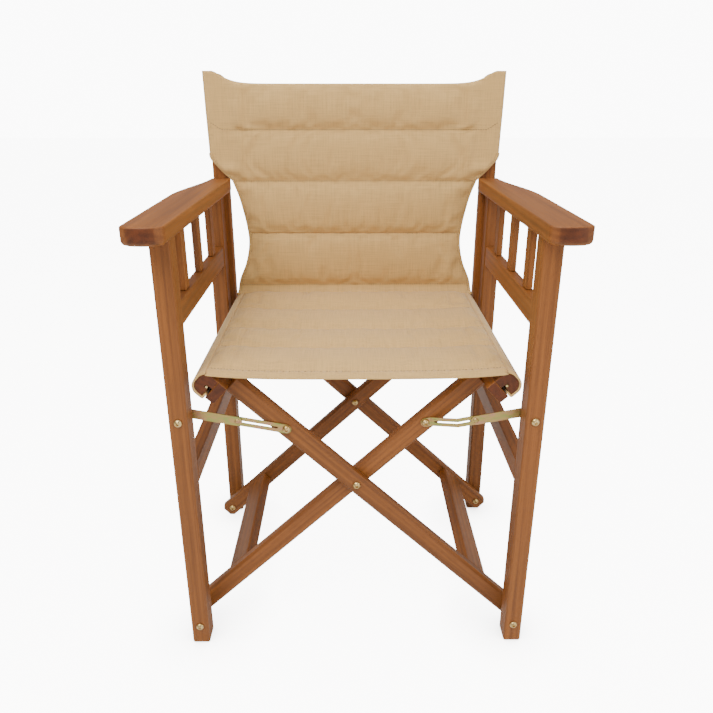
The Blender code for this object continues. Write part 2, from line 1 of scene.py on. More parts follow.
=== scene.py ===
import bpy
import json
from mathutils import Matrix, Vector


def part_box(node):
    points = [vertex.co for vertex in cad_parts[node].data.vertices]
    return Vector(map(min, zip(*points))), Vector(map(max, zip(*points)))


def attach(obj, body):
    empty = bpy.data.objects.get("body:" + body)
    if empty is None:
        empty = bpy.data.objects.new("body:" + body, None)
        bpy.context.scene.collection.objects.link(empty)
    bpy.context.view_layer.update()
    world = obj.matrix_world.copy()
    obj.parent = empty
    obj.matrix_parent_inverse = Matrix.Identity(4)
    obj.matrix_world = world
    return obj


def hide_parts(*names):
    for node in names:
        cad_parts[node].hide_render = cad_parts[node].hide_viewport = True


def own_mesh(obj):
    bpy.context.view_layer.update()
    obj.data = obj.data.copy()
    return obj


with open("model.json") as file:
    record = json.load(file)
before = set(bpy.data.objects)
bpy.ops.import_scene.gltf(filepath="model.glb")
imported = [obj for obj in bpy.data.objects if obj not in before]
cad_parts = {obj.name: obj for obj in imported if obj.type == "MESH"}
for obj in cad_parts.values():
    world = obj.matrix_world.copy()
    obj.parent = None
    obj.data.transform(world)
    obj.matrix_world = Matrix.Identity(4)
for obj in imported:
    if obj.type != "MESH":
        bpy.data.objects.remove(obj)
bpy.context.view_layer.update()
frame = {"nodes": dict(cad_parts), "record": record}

"""A folding armchair in oiled hardwood with plated fittings and a quilted canvas sling.

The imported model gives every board, rail and strip. This script gives them their finishes and adds
what a maker would sew or turn: the quilted sling with its bindings and stitching, the sleeves over
the back posts, the turned bolts with their cap nuts, and the shaped arms. Lengths are metres.
"""
import json
import logging
import math
from dataclasses import dataclass, field
from enum import Enum
from typing import Callable, Sequence

import bmesh
import bpy
import numpy as np

LOG = logging.getLogger("folding_armchair")
MM = 0.001
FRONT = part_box("front_leg_left")[0].y
BAR_ANGLE = math.radians(43.0)
LEG_X = 0.2475
PIVOT_Z = 0.032
CENTRE_Z = PIVOT_Z + LEG_X * math.tan(BAR_ANGLE)


class Grain(Enum):
    """The way a board's grain runs, as the turn that takes the Z axis to it."""

    UPRIGHT = (0.0, 0.0, 0.0)
    FRONT_TO_BACK = (-math.pi / 2, 0.0, 0.0)
    RISING_RIGHT = (0.0, math.pi / 2 - BAR_ANGLE, 0.0)
    RISING_LEFT = (0.0, BAR_ANGLE - math.pi / 2, 0.0)


# ---------------------------------------------------------------------------------------------
# Finishes
# ---------------------------------------------------------------------------------------------


class Palette:
    """A small helper around one material's node tree."""

    def __init__(self, name: str) -> None:
        """Starts a material.

        Args:
            name: the material's name.
        """
        self.material = bpy.data.materials.new(name)
        self.material.use_nodes = True
        self.tree = self.material.node_tree
        self.shader = self.tree.nodes["Principled BSDF"]

    def node(self, kind: str, **settings: object) -> bpy.types.Node:
        """Adds a node.

        Args:
            kind: the node's type without its ShaderNode prefix.
            settings: attributes to set on it.
        Returns:
            The new node.
        """
        made = self.tree.nodes.new("ShaderNode" + kind)
        for key, value in settings.items():
            setattr(made, key, value)
        return made

    def feed(self, socket: bpy.types.NodeSocket, value: object) -> None:
        """Links a socket to the input, or sets the input's value.

        Args:
            socket: the input.
            value: an output socket, a number or a tuple.
        """
        if isinstance(value, bpy.types.NodeSocket):
            self.tree.links.new(value, socket)
        else:
            socket.default_value = value

    def maths(self, operation: str, a: object, b: object = 0.0, c: object = 0.0) -> bpy.types.NodeSocket:
        """A Math node's result.

        Args:
            operation: the node's operation.
            a: the first input.
            b: the second input.
            c: the third input.
        Returns:
            The output socket.
        """
        made = self.node("Math", operation=operation)
        for socket, value in zip(made.inputs, (a, b, c)):
            self.feed(socket, value)
        return made.outputs[0]

    def stretch(self, vector: bpy.types.NodeSocket, factors: Sequence[float]) -> bpy.types.NodeSocket:
        """A vector multiplied part by part.

        Args:
            vector: the vector.
            factors: the three factors.
        Returns:
            The output socket.
        """
        made = self.node("VectorMath", operation="MULTIPLY")
        self.feed(made.inputs[0], vector)
        self.feed(made.inputs[1], tuple(factors))
        return made.outputs[0]

    def noise(self, vector: bpy.types.NodeSocket, scale: float, detail: float = 2.0) -> bpy.types.NodeSocket:
        """Noise between 0 and 1.

        Args:
            vector: the coordinates.
            scale: its frequency per metre.
            detail: its octaves.
        Returns:
            The factor socket.
        """
        made = self.node("TexNoise")
        self.feed(made.inputs["Vector"], vector)
        made.inputs["Scale"].default_value = scale
        made.inputs["Detail"].default_value = detail
        return made.outputs[0]

    def ramp(self, factor: bpy.types.NodeSocket, stops: Sequence[tuple]) -> bpy.types.NodeSocket:
        """A colour ramp.

        Args:
            factor: what drives it.
            stops: (position, (r, g, b)) pairs.
        Returns:
            The colour socket.
        """
        made = self.node("ValToRGB")
        points = made.color_ramp.elements
        while len(points) < len(stops):
            points.new(0.5)
        for point, (place, colour) in zip(points, stops):
            point.position = place
            point.color = (*colour, 1.0)
        self.feed(made.inputs[0], factor)
        return made.outputs[0]

    def mix(self, factor: object, a: object, b: object, blend: str = "MIX") -> bpy.types.NodeSocket:
        """Two colours mixed.

        Args:
            factor: the share of the second.
            a: the first colour.
            b: the second colour.
            blend: the blend type.
        Returns:
            The colour socket.
        """
        made = self.node("Mix", data_type="RGBA", blend_type=blend)
        self.feed(made.inputs[0], factor)
        self.feed(made.inputs[6], a if isinstance(a, bpy.types.NodeSocket) else (*a, 1.0))
        self.feed(made.inputs[7], b if isinstance(b, bpy.types.NodeSocket) else (*b, 1.0))
        return made.outputs[2]

    def bump(self, height: bpy.types.NodeSocket, depth: float, strength: float = 1.0) -> None:
        """Raises the surface by a height map.

        Args:
            height: the map, 0 to 1.
            depth: metres for a height of 1.
            strength: the share of the effect.
        """
        made = self.node("Bump")
        made.inputs["Strength"].default_value = strength
        made.inputs["Distance"].default_value = depth
        self.feed(made.inputs["Height"], height)
        self.feed(self.shader.inputs["Normal"], made.outputs[0])


@dataclass(frozen=True)
class Hardwood:
    """Oiled tropical hardwood: growth rings about a pith line, fibres along it, fine dark pores."""

    light: tuple = (0.340, 0.124, 0.026)
    dark: tuple = (0.112, 0.038, 0.008)
    ring_spacing: float = 0.0085
    sheen_roughness: float = 0.46

    def make(self, name: str, grain: Grain, pith: Sequence[float], tone: float = 1.0) -> bpy.types.Material:
        """The finish for one board.

        Args:
            name: the material's name.
            grain: the way the grain runs.
            pith: a point on the pith line, which lies outside the board.
            tone: how light this board is.
        Returns:
            The material.
        """
        p = Palette(name)
        place = p.node("TexCoord")
        lay = p.node("Mapping", vector_type="TEXTURE")
        lay.inputs["Location"].default_value = tuple(pith)
        lay.inputs["Rotation"].default_value = grain.value
        p.feed(lay.inputs["Vector"], place.outputs["Object"])
        along = lay.outputs[0]
        rings = p.node("TexWave", wave_type="RINGS", rings_direction="Z", wave_profile="SIN")
        p.feed(rings.inputs["Vector"], p.stretch(along, (1.0, 1.0, 0.05)))
        rings.inputs["Scale"].default_value = 2.0 * math.pi / (20.0 * self.ring_spacing)
        rings.inputs["Distortion"].default_value = 5.5
        rings.inputs["Detail"].default_value = 3.0
        rings.inputs["Detail Scale"].default_value = 0.6
        fibre = p.noise(p.stretch(along, (1.0, 1.0, 0.012)), 850.0, 4.0)
        streak = p.noise(p.stretch(along, (1.0, 1.0, 0.03)), 95.0, 3.0)
        cloud = p.noise(p.stretch(along, (1.0, 1.0, 0.3)), 16.0, 2.0)
        figure = p.maths("MULTIPLY_ADD", rings.outputs["Fac"], 0.10, p.maths("MULTIPLY", fibre, 0.38))
        figure = p.maths("MULTIPLY_ADD", streak, 0.52, figure)
        middle = tuple(0.5 * (a + b) for a, b in zip(self.light, self.dark))
        colour = p.ramp(figure, [(0.26, self.dark), (0.50, middle), (0.74, self.light)])
        pores = p.noise(p.stretch(along, (1.0, 1.0, 0.03)), 1500.0, 1.0)
        pored = p.maths("GREATER_THAN", pores, 0.66)
        colour = p.mix(p.maths("MULTIPLY", pored, 0.45), colour, self.dark)
        colour = p.mix(p.maths("MULTIPLY", cloud, 0.30), colour, (0.62, 0.40, 0.24), "MULTIPLY")
        shade = p.node("HueSaturation")
        shade.inputs["Value"].default_value = tone
        p.feed(shade.inputs["Color"], colour)
        facing = p.node("VectorMath", operation="DOT_PRODUCT")
        p.feed(facing.inputs[0], place.outputs["Normal"])
        p.feed(facing.inputs[1], tuple(self.direction(grain)))
        end = p.maths("SMOOTH_MIN", p.maths("ABSOLUTE", facing.outputs["Value"]), 1.0, 0.1)
        end = p.maths("POWER", end, 6.0)
        ended = p.mix(p.maths("MULTIPLY", end, 0.95), shade.outputs[0], (0.30, 0.14, 0.07), "MULTIPLY")
        p.feed(p.shader.inputs["Base Color"], ended)
        rough = p.maths("MULTIPLY_ADD", fibre, 0.22, self.sheen_roughness - 0.08)
        p.feed(p.shader.inputs["Roughness"], rough)
        p.bump(p.maths("MULTIPLY_ADD", pored, -0.6, fibre), 0.00005, 0.5)
        p.shader.inputs["Specular IOR Level"].default_value = 0.38
        return p.material

    @staticmethod
    def direction(grain: Grain) -> np.ndarray:
        """The unit vector along the grain: the Z axis turned about X, then about Y."""
        about_x, about_y, _ = grain.value
        upright = np.array([0.0, -math.sin(about_x), math.cos(about_x)])
        return np.array([upright[2] * math.sin(about_y), upright[1], upright[2] * math.cos(about_y)])


@dataclass(frozen=True)
class Canvas:
    """Khaki cotton canvas: a plain weave of slubby yarns, in cloth coordinates of metres."""

    colour: tuple = (0.632, 0.420, 0.168)
    thread_pitch: float = 0.0009
    tone: float = 1.0

    def make(self, name: str) -> bpy.types.Material:
        """The finish, which reads the piece's own UV map.

        Args:
            name: the material's name.
        Returns:
            The material.
        """
        p = Palette(name)
        cloth = p.node("UVMap", uv_map="cloth").outputs[0]
        threads = []
        for axis in ("X", "Y"):
            wave = p.node("TexWave", wave_type="BANDS", bands_direction=axis, wave_profile="SIN")
            p.feed(wave.inputs["Vector"], cloth)
            wave.inputs["Scale"].default_value = 2.0 * math.pi / (20.0 * self.thread_pitch)
            wave.inputs["Distortion"].default_value = 0.6
            wave.inputs["Detail Scale"].default_value = 0.2
            threads.append(wave.outputs["Fac"])
        weave = p.maths("MAXIMUM", threads[0], threads[1])
        warp = p.noise(p.stretch(cloth, (1.0, 0.03, 1.0)), 700.0, 2.0)
        weft = p.noise(p.stretch(cloth, (0.03, 1.0, 1.0)), 700.0, 2.0)
        slubs = p.maths("MULTIPLY_ADD", warp, 0.5, p.maths("MULTIPLY", weft, 0.5))
        cloud = p.noise(cloth, 9.0, 3.0)
        base = tuple(self.tone * c for c in self.colour)
        light = tuple(min(c * 1.10, 1.0) for c in base)
        dark = tuple(c * 0.86 for c in base)
        colour = p.ramp(slubs, [(0.36, dark), (0.50, base), (0.64, light)])
        colour = p.mix(p.maths("MULTIPLY", cloud, 0.22), colour, (0.80, 0.72, 0.60), "MULTIPLY")
        colour = p.mix(p.maths("MULTIPLY_ADD", weave, -0.12, 0.12), colour, dark)
        p.feed(p.shader.inputs["Base Color"], colour)
        p.feed(p.shader.inputs["Roughness"], p.maths("MULTIPLY_ADD", slubs, 0.12, 0.84))
        p.bump(p.maths("MULTIPLY_ADD", slubs, 0.6, p.maths("MULTIPLY", weave, 0.6)), 0.00022, 0.55)
        p.shader.inputs["Sheen Weight"].default_value = 0.25
        p.shader.inputs["Sheen Roughness"].default_value = 0.5
        p.shader.inputs["Specular IOR Level"].default_value = 0.2
        return p.material


@dataclass(frozen=True)
class Plating:
    """Bright plated steel with a faint interference tint and fine handling marks."""

    base: tuple
    tints: tuple
    roughness: float
    tint_share: float

    def make(self, name: str) -> bpy.types.Material:
        """The finish.

        Args:
            name: the material's name.
        Returns:
            The material.
        """
        p = Palette(name)
        place = p.node("TexCoord").outputs["Object"]
        drift = p.noise(p.stretch(place, (1.0, 1.0, 2.2)), 55.0, 2.0)
        stops = [(0.34, self.tints[0]), (0.50, self.base), (0.66, self.tints[1])]
        colour = p.mix(self.tint_share, self.base, p.ramp(drift, stops))
        p.feed(p.shader.inputs["Base Color"], colour)
        marks = p.noise(p.stretch(place, (1.0, 1.0, 6.0)), 900.0, 2.0)
        rough = p.maths("MULTIPLY_ADD", marks, 0.22, self.roughness - 0.10)
        p.feed(p.shader.inputs["Roughness"], rough)
        p.bump(marks, 0.00003, 0.35)
        p.shader.inputs["Metallic"].default_value = 1.0
        return p.material


BRASS = Plating((0.60, 0.45, 0.20), ((0.50, 0.34, 0.13), (0.72, 0.58, 0.33)), 0.30, 0.8)
YELLOW_ZINC = Plating((0.46, 0.35, 0.13), ((0.50, 0.29, 0.18), (0.33, 0.37, 0.12)), 0.38, 1.0)


@dataclass(frozen=True)
class ThreadWithPaintedSeamShade:
    """Matt polyester sewing thread with a twisted lay, darker than the canvas: partly its own colour, partly
    painted shade for the quilted seams' creases.
    """

    # Painted shade: the thread's dark colour also stands in for the shade in the seams' creases.
    colour: tuple = (0.34, 0.235, 0.12)

    def make(self, name: str) -> bpy.types.Material:
        """The finish.

        Args:
            name: the material's name.
        Returns:
            The material.
        """
        p = Palette(name)
        place = p.node("TexCoord").outputs["Object"]
        lay = p.noise(place, 1400.0, 1.0)
        dark = tuple(0.7 * c for c in self.colour)
        p.feed(p.shader.inputs["Base Color"], p.ramp(lay, [(0.35, dark), (0.65, self.colour)]))
        p.shader.inputs["Roughness"].default_value = 0.7
        return p.material


# ---------------------------------------------------------------------------------------------
# Mesh helpers
# ---------------------------------------------------------------------------------------------


def link_mesh(name: str, points: np.ndarray, faces: list, finish: bpy.types.Material) -> bpy.types.Object:
    """Makes a smooth-shaded object from points and faces.

    Args:
        name: the piece's name.
        points: an (n, 3) array.
        faces: lists of point numbers.
        finish: its material.
    Returns:
        The object, at the origin.
    """
    mesh = bpy.data.meshes.new(name)
    mesh.from_pydata(points.reshape(-1, 3).tolist(), [], faces)
    mesh.materials.append(finish)
    mesh.update()
    mesh.shade_smooth()
    thing = bpy.data.objects.new(name, mesh)
    bpy.context.scene.collection.objects.link(thing)
    return thing


def grid_faces(rows: int, columns: int, wrap: bool, first: int = 0) -> np.ndarray:
    """Quads of a grid; the last column joins the first when wrap is set.

    Args:
        rows: the number of rows.
        columns: the number of columns.
        wrap: whether the rows are rings.
        first: the number of the first point.
    Returns:
        An (m, 4) array of point numbers.
    """
    index = first + np.arange(rows * columns).reshape(rows, columns)
    if wrap:
        index = np.hstack([index, index[:, :1]])
    corners = [index[:-1, :-1], index[:-1, 1:], index[1:, 1:], index[1:, :-1]]
    return np.stack(corners, axis=-1).reshape(-1, 4)


def tube(name: str, rings: np.ndarray, finish: bpy.types.Material) -> bpy.types.Object:
    """A closed solid from rings of points, capped at both ends.

    Args:
        name: the piece's name.
        rings: an (rows, columns, 3) array.
        finish: its material.
    Returns:
        The object.
    """
    rows, columns = rings.shape[:2]
    faces = grid_faces(rows, columns, True).tolist()
    faces.append(list(range(columns))[::-1])
    faces.append(list(range((rows - 1) * columns, rows * columns)))
    thing = link_mesh(name, rings, faces, finish)
    point_outwards(thing)
    return thing


def point_outwards(thing: bpy.types.Object) -> None:
    """Turns every face outwards when the solid's signed volume is negative.

    The volume is a sixth of the sum, over the triangles, of a corner's product with the cross
    product of the other two.

    Args:
        thing: the piece.
    """
    mesh = thing.data
    mesh.calc_loop_triangles()
    corners = np.empty(len(mesh.loop_triangles) * 3, np.int32)
    mesh.loop_triangles.foreach_get("vertices", corners)
    places = np.empty(len(mesh.vertices) * 3)
    mesh.vertices.foreach_get("co", places)
    a, b, c = np.moveaxis(places.reshape(-1, 3)[corners.reshape(-1, 3)], 1, 0)
    if np.einsum("ij,ij->", a, np.cross(b, c)) < 0.0:
        mesh.flip_normals()


def map_cloth(thing: bpy.types.Object, across: Callable[[np.ndarray], np.ndarray]) -> None:
    """Gives a piece the UV map that the canvas reads, in metres of cloth.

    Args:
        thing: the piece.
        across: takes the (n, 3) points and returns the (n, 2) cloth coordinates.
    """
    mesh = thing.data
    places = np.empty(len(mesh.vertices) * 3)
    mesh.vertices.foreach_get("co", places)
    corner = np.empty(len(mesh.loops), np.int32)
    mesh.loops.foreach_get("vertex_index", corner)
    layer = mesh.uv_layers.new(name="cloth")
    flat = across(places.reshape(-1, 3))[corner]
    layer.data.foreach_set("uv", flat.astype(np.float32).ravel())


def smooth_step(x: np.ndarray) -> np.ndarray:
    """0 below 0, 1 above 1, and 3x^2 - 2x^3 between."""
    t = np.clip(x, 0.0, 1.0)
    return t * t * (3.0 - 2.0 * t)


def through(x: np.ndarray, places: Sequence[float], values: Sequence[float]) -> np.ndarray:
    """A smooth curve through stations: cubic Hermite pieces with central slopes.

    Args:
        x: where it is read.
        places: the stations, rising.
        values: its values there.
    Returns:
        The curve's values.
    """
    places, values = np.asarray(places), np.asarray(values)
    slopes = np.gradient(values, places)
    i = np.clip(np.searchsorted(places, x) - 1, 0, len(places) - 2)
    step = places[i + 1] - places[i]
    t = np.clip((x - places[i]) / step, 0.0, 1.0)
    rise = (2 * t ** 3 - 3 * t ** 2 + 1) * values[i] + (3 * t ** 2 - 2 * t ** 3) * values[i + 1]
    lean = (t ** 3 - 2 * t ** 2 + t) * slopes[i] + (t ** 3 - t ** 2) * slopes[i + 1]
    return rise + step * lean


def inflate(thing: bpy.types.Object, held: np.ndarray, pressure: float, most: float) -> None:
    """Lets air pressure fill a sewn pad while its seams are held, then keeps the capped result.

    Args:
        thing: the pad, a closed mesh.
        held: how firmly each point is held, 0 to 1.
        pressure: the pressure inside.
        most: how far a point may move, in metres.
    """
    work = thing.copy()
    work.data = thing.data.copy()
    bpy.context.scene.collection.objects.link(work)
    group = work.vertex_groups.new(name="seams")
    for number, weight in enumerate(held.tolist()):
        if weight > 0.02:
            group.add([number], weight, "REPLACE")
    cloth = work.modifiers.new("air", "CLOTH")
    cloth.settings.vertex_group_mass = "seams"
    cloth.settings.use_pressure = True
    cloth.settings.uniform_pressure_force = pressure
    cloth.settings.shrink_min = -0.035
    cloth.settings.effector_weights.gravity = 0.0
    cloth.settings.quality = 4
    cloth.point_cache.frame_start = 1
    cloth.point_cache.frame_end = 20
    for step in range(1, 17):
        bpy.context.scene.frame_set(step)
    settled = work.evaluated_get(bpy.context.evaluated_depsgraph_get())
    before = np.empty(len(thing.data.vertices) * 3)
    after = np.empty_like(before)
    thing.data.vertices.foreach_get("co", before)
    settled.data.vertices.foreach_get("co", after)
    move = (after - before).reshape(-1, 3)
    reach = np.linalg.norm(move, axis=1, keepdims=True)
    move *= np.minimum(1.0, most / np.maximum(reach, 1e-9))
    thing.data.vertices.foreach_set("co", before + move.ravel())
    bpy.data.objects.remove(work)
    bpy.context.scene.frame_set(1)
    thing.data.update()


# ---------------------------------------------------------------------------------------------
# The sling
# ---------------------------------------------------------------------------------------------


@dataclass
class Gather:
    """The body a cloth piece hangs on."""

    body: str
    anchor_x: float
    keep: float

    def dress(self, thing: bpy.types.Object, *nodes: str) -> bpy.types.Object:
        """Hangs a piece on its body and hides the plain solids it stands for.

        Args:
            thing: the piece.
            nodes: the plain solids it stands for.
        Returns:
            The piece.
        """
        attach(thing, self.body)
        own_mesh(thing)
        if nodes:
            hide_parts(*nodes)
        LOG.info("%s gathers with %s", thing.name, self.body)
        return thing


@dataclass
class QuiltedPanel:
    """A sewn panel: two sheets of canvas with wadding between, stitched across in channels.

    A point is worked out from its nominal place (u, t): u runs from -1 to 1 across the panel and
    t, in metres, along it. The sheets stand apart by a seam's thickness, plus a puff that is
    4s(1 - s) raised to the roundness over each channel, where s runs from 0 to 1 over it.
    """

    name: str
    seams: tuple
    place: Callable[[np.ndarray, np.ndarray], np.ndarray]
    outward: Callable[[np.ndarray, np.ndarray], np.ndarray]
    calm: Callable[[np.ndarray, np.ndarray], np.ndarray]
    face_puff: float = 0.0074
    back_puff: float = 0.0030
    seam_half: float = 0.0009
    roundness: float = 0.5
    columns: int = 96
    pitch: float = 0.0052

    def rows(self) -> np.ndarray:
        """The rows' nominal places: closer together beside each seam, and one on every seam."""
        levels = [np.array(self.seams[:1])]
        for start, stop in zip(self.seams[:-1], self.seams[1:]):
            count = max(int((stop - start) / self.pitch), 4)
            share = np.linspace(0.0, 1.0, count + 1)[1:]
            share = share - 0.13 * np.sin(2.0 * math.pi * share) / 2.0
            levels.append(start + (stop - start) * share)
        return np.concatenate(levels)

    def swell(self, t: np.ndarray) -> np.ndarray:
        """The puff's share at each row: a power of 4s(1 - s) within a channel, 0 on a seam."""
        edges = np.array(self.seams)
        i = np.clip(np.searchsorted(edges, t, side="right") - 1, 0, len(edges) - 2)
        s = np.clip((t - edges[i]) / (edges[i + 1] - edges[i]), 0.0, 1.0)
        size = np.clip((edges[i + 1] - edges[i]) / 0.075, 0.25, 1.0)
        return (4.0 * s * (1.0 - s)) ** self.roundness * size

    def build(self, finish: bpy.types.Material) -> bpy.types.Object:
        """Makes the panel's closed mesh and lets air fill its channels.

        Args:
            finish: the canvas.
        Returns:
            The object.
        """
        levels = self.rows()
        u, t = np.meshgrid(np.linspace(-1.0, 1.0, self.columns), levels)
        middle = self.place(u, t)
        normal = self.outward(u, t)
        puff = self.swell(t) * self.calm(u, t)
        edge = np.sqrt(np.clip((1.0 - np.abs(u)) / 0.02, 0.0, 1.0))
        half = self.seam_half * (0.35 + 0.65 * edge)
        face = middle + normal * (half + self.face_puff * puff)[..., None]
        back = middle - normal * (half + self.back_puff * puff)[..., None]
        rings = np.concatenate([face, back[:, ::-1]], axis=1)
        rows, columns = rings.shape[:2]
        faces = grid_faces(rows, columns, True).tolist()
        i = np.arange(self.columns - 1)
        cap = np.stack([i, i + 1, columns - 2 - i, columns - 1 - i], axis=-1)
        faces += cap[:, ::-1].tolist() + (cap + (rows - 1) * columns).tolist()
        thing = link_mesh(self.name, rings, faces, finish)
        point_outwards(thing)
        firm = 1.0 - np.clip(puff * 1.5, 0.0, 1.0)
        held = np.concatenate([firm, firm[:, ::-1]], axis=1).ravel()
        inflate(thing, held, 2.2, 0.0035)
        return thing


@dataclass
class Stitching:
    """Runs of thread: short capsules sunk at both ends, spaced evenly along a path."""

    length: float = 0.0030
    pitch: float = 0.0043
    radius: float = 0.00058
    name: str = "stitches"
    runs: list = field(default_factory=list)

    def run(self, path: np.ndarray, up: np.ndarray) -> None:
        """Adds a run of stitches along a path.

        Args:
            path: (n, 3) points on the cloth.
            up: the unit vector out of the cloth.
        """
        gaps = np.linalg.norm(np.diff(path, axis=0), axis=1)
        reach = np.concatenate([[0.0], np.cumsum(gaps)])
        starts = np.arange(0.002, reach[-1] - self.length, self.pitch)
        share = np.linspace(0.0, 1.0, 5)
        where = starts[:, None] + share * self.length
        centre = np.stack([np.interp(where, reach, path[:, k]) for k in range(3)], axis=-1)
        lift = 0.9 * self.radius * np.sin(math.pi * share) - 0.3 * self.radius
        centre = centre + lift[None, :, None] * up
        along = centre[:, -1] - centre[:, 0]
        along /= np.linalg.norm(along, axis=1, keepdims=True)
        side = np.cross(along, up)
        turn = np.linspace(0.0, 2.0 * math.pi, 6, endpoint=False)
        thick = self.radius * np.array([0.35, 0.9, 1.0, 0.9, 0.35])
        ring = np.cos(turn)[:, None] * side[:, None, None, :] + np.sin(turn)[:, None] * up
        self.runs.append(centre[:, :, None, :] + thick[None, :, None, None] * ring)

    def build(self, finish: bpy.types.Material) -> bpy.types.Object:
        """Joins every run into one mesh.

        Args:
            finish: the thread.
        Returns:
            The object.
        """
        stitches = np.concatenate(self.runs)
        count, rows, columns = stitches.shape[:3]
        one = grid_faces(rows, columns, True)
        every = (one[None] + (np.arange(count) * rows * columns)[:, None, None]).reshape(-1, 4)
        ends = np.stack([np.arange(columns)[::-1], np.arange(columns) + (rows - 1) * columns])
        caps = (ends[None] + (np.arange(count) * rows * columns)[:, None, None]).reshape(-1, columns)
        thing = link_mesh(self.name, stitches, every.tolist() + caps.tolist(), finish)
        point_outwards(thing)
        return thing


@dataclass
class BackSling:
    """The quilted back: waisted between the arms, wide at the top, hung from two posts."""

    top_middle: float = 0.8160
    top_corner: float = 0.8355
    start: float = 0.4474
    crease: float = 0.4702
    bend_radius: float = 0.0143
    bend_top: float = 0.4699
    split: float = 0.5662
    second_seam: float = 0.6578
    first_seam: float = 0.7430
    first_seam_rise: float = 0.0110
    heights: tuple = (0.447, 0.475, 0.512, 0.553, 0.580, 0.606, 0.633, 0.659)
    widths: tuple = (0.2190, 0.2150, 0.2000, 0.1925, 0.1947, 0.1995, 0.2060, 0.2155)
    wing_heights: tuple = (0.659, 0.690, 0.6965, 0.761, 0.800, 0.840)
    wing_widths: tuple = (0.2155, 0.2500, 0.2527, 0.2545, 0.2552, 0.2560)
    face_depth: float = 0.4315
    lean: float = 0.0071

    def half_width(self, t: np.ndarray) -> np.ndarray:
        """Half the panel's width at a height: a smooth waist, then a straight flare and a wing."""
        waist = through(t, self.heights, self.widths)
        return np.where(t > self.heights[-1], np.interp(t, self.wing_heights, self.wing_widths), waist)

    def top_edge(self, x: np.ndarray) -> np.ndarray:
        """The top edge's height: level on each post, then a quick fall that flattens inwards."""
        inward = np.clip(0.238 - np.abs(x), 0.0, None) / 0.024
        return self.top_middle + (self.top_corner - self.top_middle) * np.exp(-inward ** 1.3)

    def place(self, u: np.ndarray, t: np.ndarray) -> np.ndarray:
        """The panel's middle surface.

        At the bottom it comes up out of the seat in a quarter round. Heights are nominal up to the
        second seam. Above it they are spread between that seam, the first seam, which rises beside
        the posts, and the top edge.

        Args:
            u: -1 to 1 across.
            t: the nominal height.
        Returns:
            The points.
        """
        x = u * self.half_width(t)
        seam = self.first_seam + self.first_seam_rise * smooth_step((np.abs(x) - 0.227) / 0.022)
        low = (t - self.second_seam) / (self.first_seam - self.second_seam)
        high = (t - self.first_seam) / (self.top_middle - self.first_seam)
        z = np.where(t > self.second_seam, self.second_seam + low * (seam - self.second_seam), t)
        z = np.where(t > self.first_seam, seam + high * (self.top_edge(x) - seam), z)
        back = self.lean * smooth_step((0.70 - t) / 0.22)
        bow = 0.004 * (1.0 - u ** 2) * smooth_step((t - 0.60) / 0.1)
        turn = np.minimum(t - self.bend_top, 0.0) / self.bend_radius
        z = np.where(turn < 0.0, self.bend_top + self.bend_radius * np.sin(turn), z)
        y = self.face_depth + back + bow - self.bend_radius * (1.0 - np.cos(turn))
        return np.stack([x, FRONT + y, z], axis=-1)

    def outward(self, u: np.ndarray, t: np.ndarray) -> np.ndarray:
        """The face's direction: to the front, and turning up where the back comes out of the seat."""
        turn = np.minimum(t - self.bend_top, 0.0) / self.bend_radius
        return np.stack([0.0 * u, -np.cos(turn), -np.sin(turn)], axis=-1)

    def calm(self, u: np.ndarray, t: np.ndarray) -> np.ndarray:
        """How much of the wadding is there: none at the bound edges, little over the posts."""
        x = np.abs(u) * self.half_width(t)
        edge = np.sqrt(np.clip((self.half_width(t) - x) / 0.028, 0.0, 1.0))
        over_post = smooth_step((x - 0.196) / 0.024) * smooth_step((t - 0.675) / 0.02)
        return edge * (1.0 - 0.92 * over_post)

    def panel(self, name: str, seams: tuple) -> QuiltedPanel:
        """One part of the back between its first and last seam."""
        return QuiltedPanel(name, seams, self.place, self.outward, self.calm)

    def edge_path(self, side: float, low: float, high: float, count: int) -> np.ndarray:
        """Points along a bound side edge.

        Args:
            side: -1 left, 1 right.
            low: where it starts.
            high: where it ends.
            count: the number of points.
        Returns:
            An (n, 3) array.
        """
        t = np.linspace(low, high, count)
        return self.place(np.full(count, side), t)


def binding(name: str, paths: Sequence[np.ndarray], finish: bpy.types.Material, half: Sequence[float],
            inward: float) -> bpy.types.Object:
    """A folded tape sewn over an edge: a flattened oval carried along each path.

    A ring is the path's point plus cos a times the half width along the cloth, and sin a times
    the half thickness across it, with both raised to the power 0.7 so that the tape looks folded.

    Args:
        name: the piece's name.
        paths: the edges' points.
        finish: the canvas.
        half: half the width and half the thickness.
        inward: how far the tape's middle lies inside the edge.
    Returns:
        The object.
    """
    turn = np.linspace(0.0, 2.0 * math.pi, 16, endpoint=False)
    flat = np.sign(np.cos(turn)) * np.abs(np.cos(turn)) ** 0.7 * half[0]
    thick = np.sign(np.sin(turn)) * np.abs(np.sin(turn)) ** 0.7 * half[1]
    points, faces, first = [], [], 0
    for path in paths:
        along = np.gradient(path, axis=0)
        along /= np.linalg.norm(along, axis=1, keepdims=True)
        out = np.cross(along, np.array([0.0, 1.0, 0.0]))
        out /= np.linalg.norm(out, axis=1, keepdims=True)
        out *= np.sign(np.sum(out[:, 0] * path[:, 0]))
        depth = np.cross(out, along)
        across = (flat[None, :, None] - inward) * out[:, None]
        rings = path[:, None] + across + thick[None, :, None] * depth[:, None]
        rows, columns = rings.shape[:2]
        points.append(rings.reshape(-1, 3))
        faces += grid_faces(rows, columns, True, first).tolist()
        faces.append((first + np.arange(columns))[::-1].tolist())
        faces.append((first + (rows - 1) * columns + np.arange(columns)).tolist())
        first += rows * columns
    thing = link_mesh(name, np.concatenate(points), faces, finish)
    bpy.context.view_layer.objects.active = thing
    outward_shells(thing)
    return thing


def outward_shells(thing: bpy.types.Object) -> None:
    """Recalculates the outward side of each of a mesh's separate shells."""
    bm = bmesh.new()
    bm.from_mesh(thing.data)
    bmesh.ops.recalc_face_normals(bm, faces=bm.faces)
    bm.to_mesh(thing.data)
    bm.free()


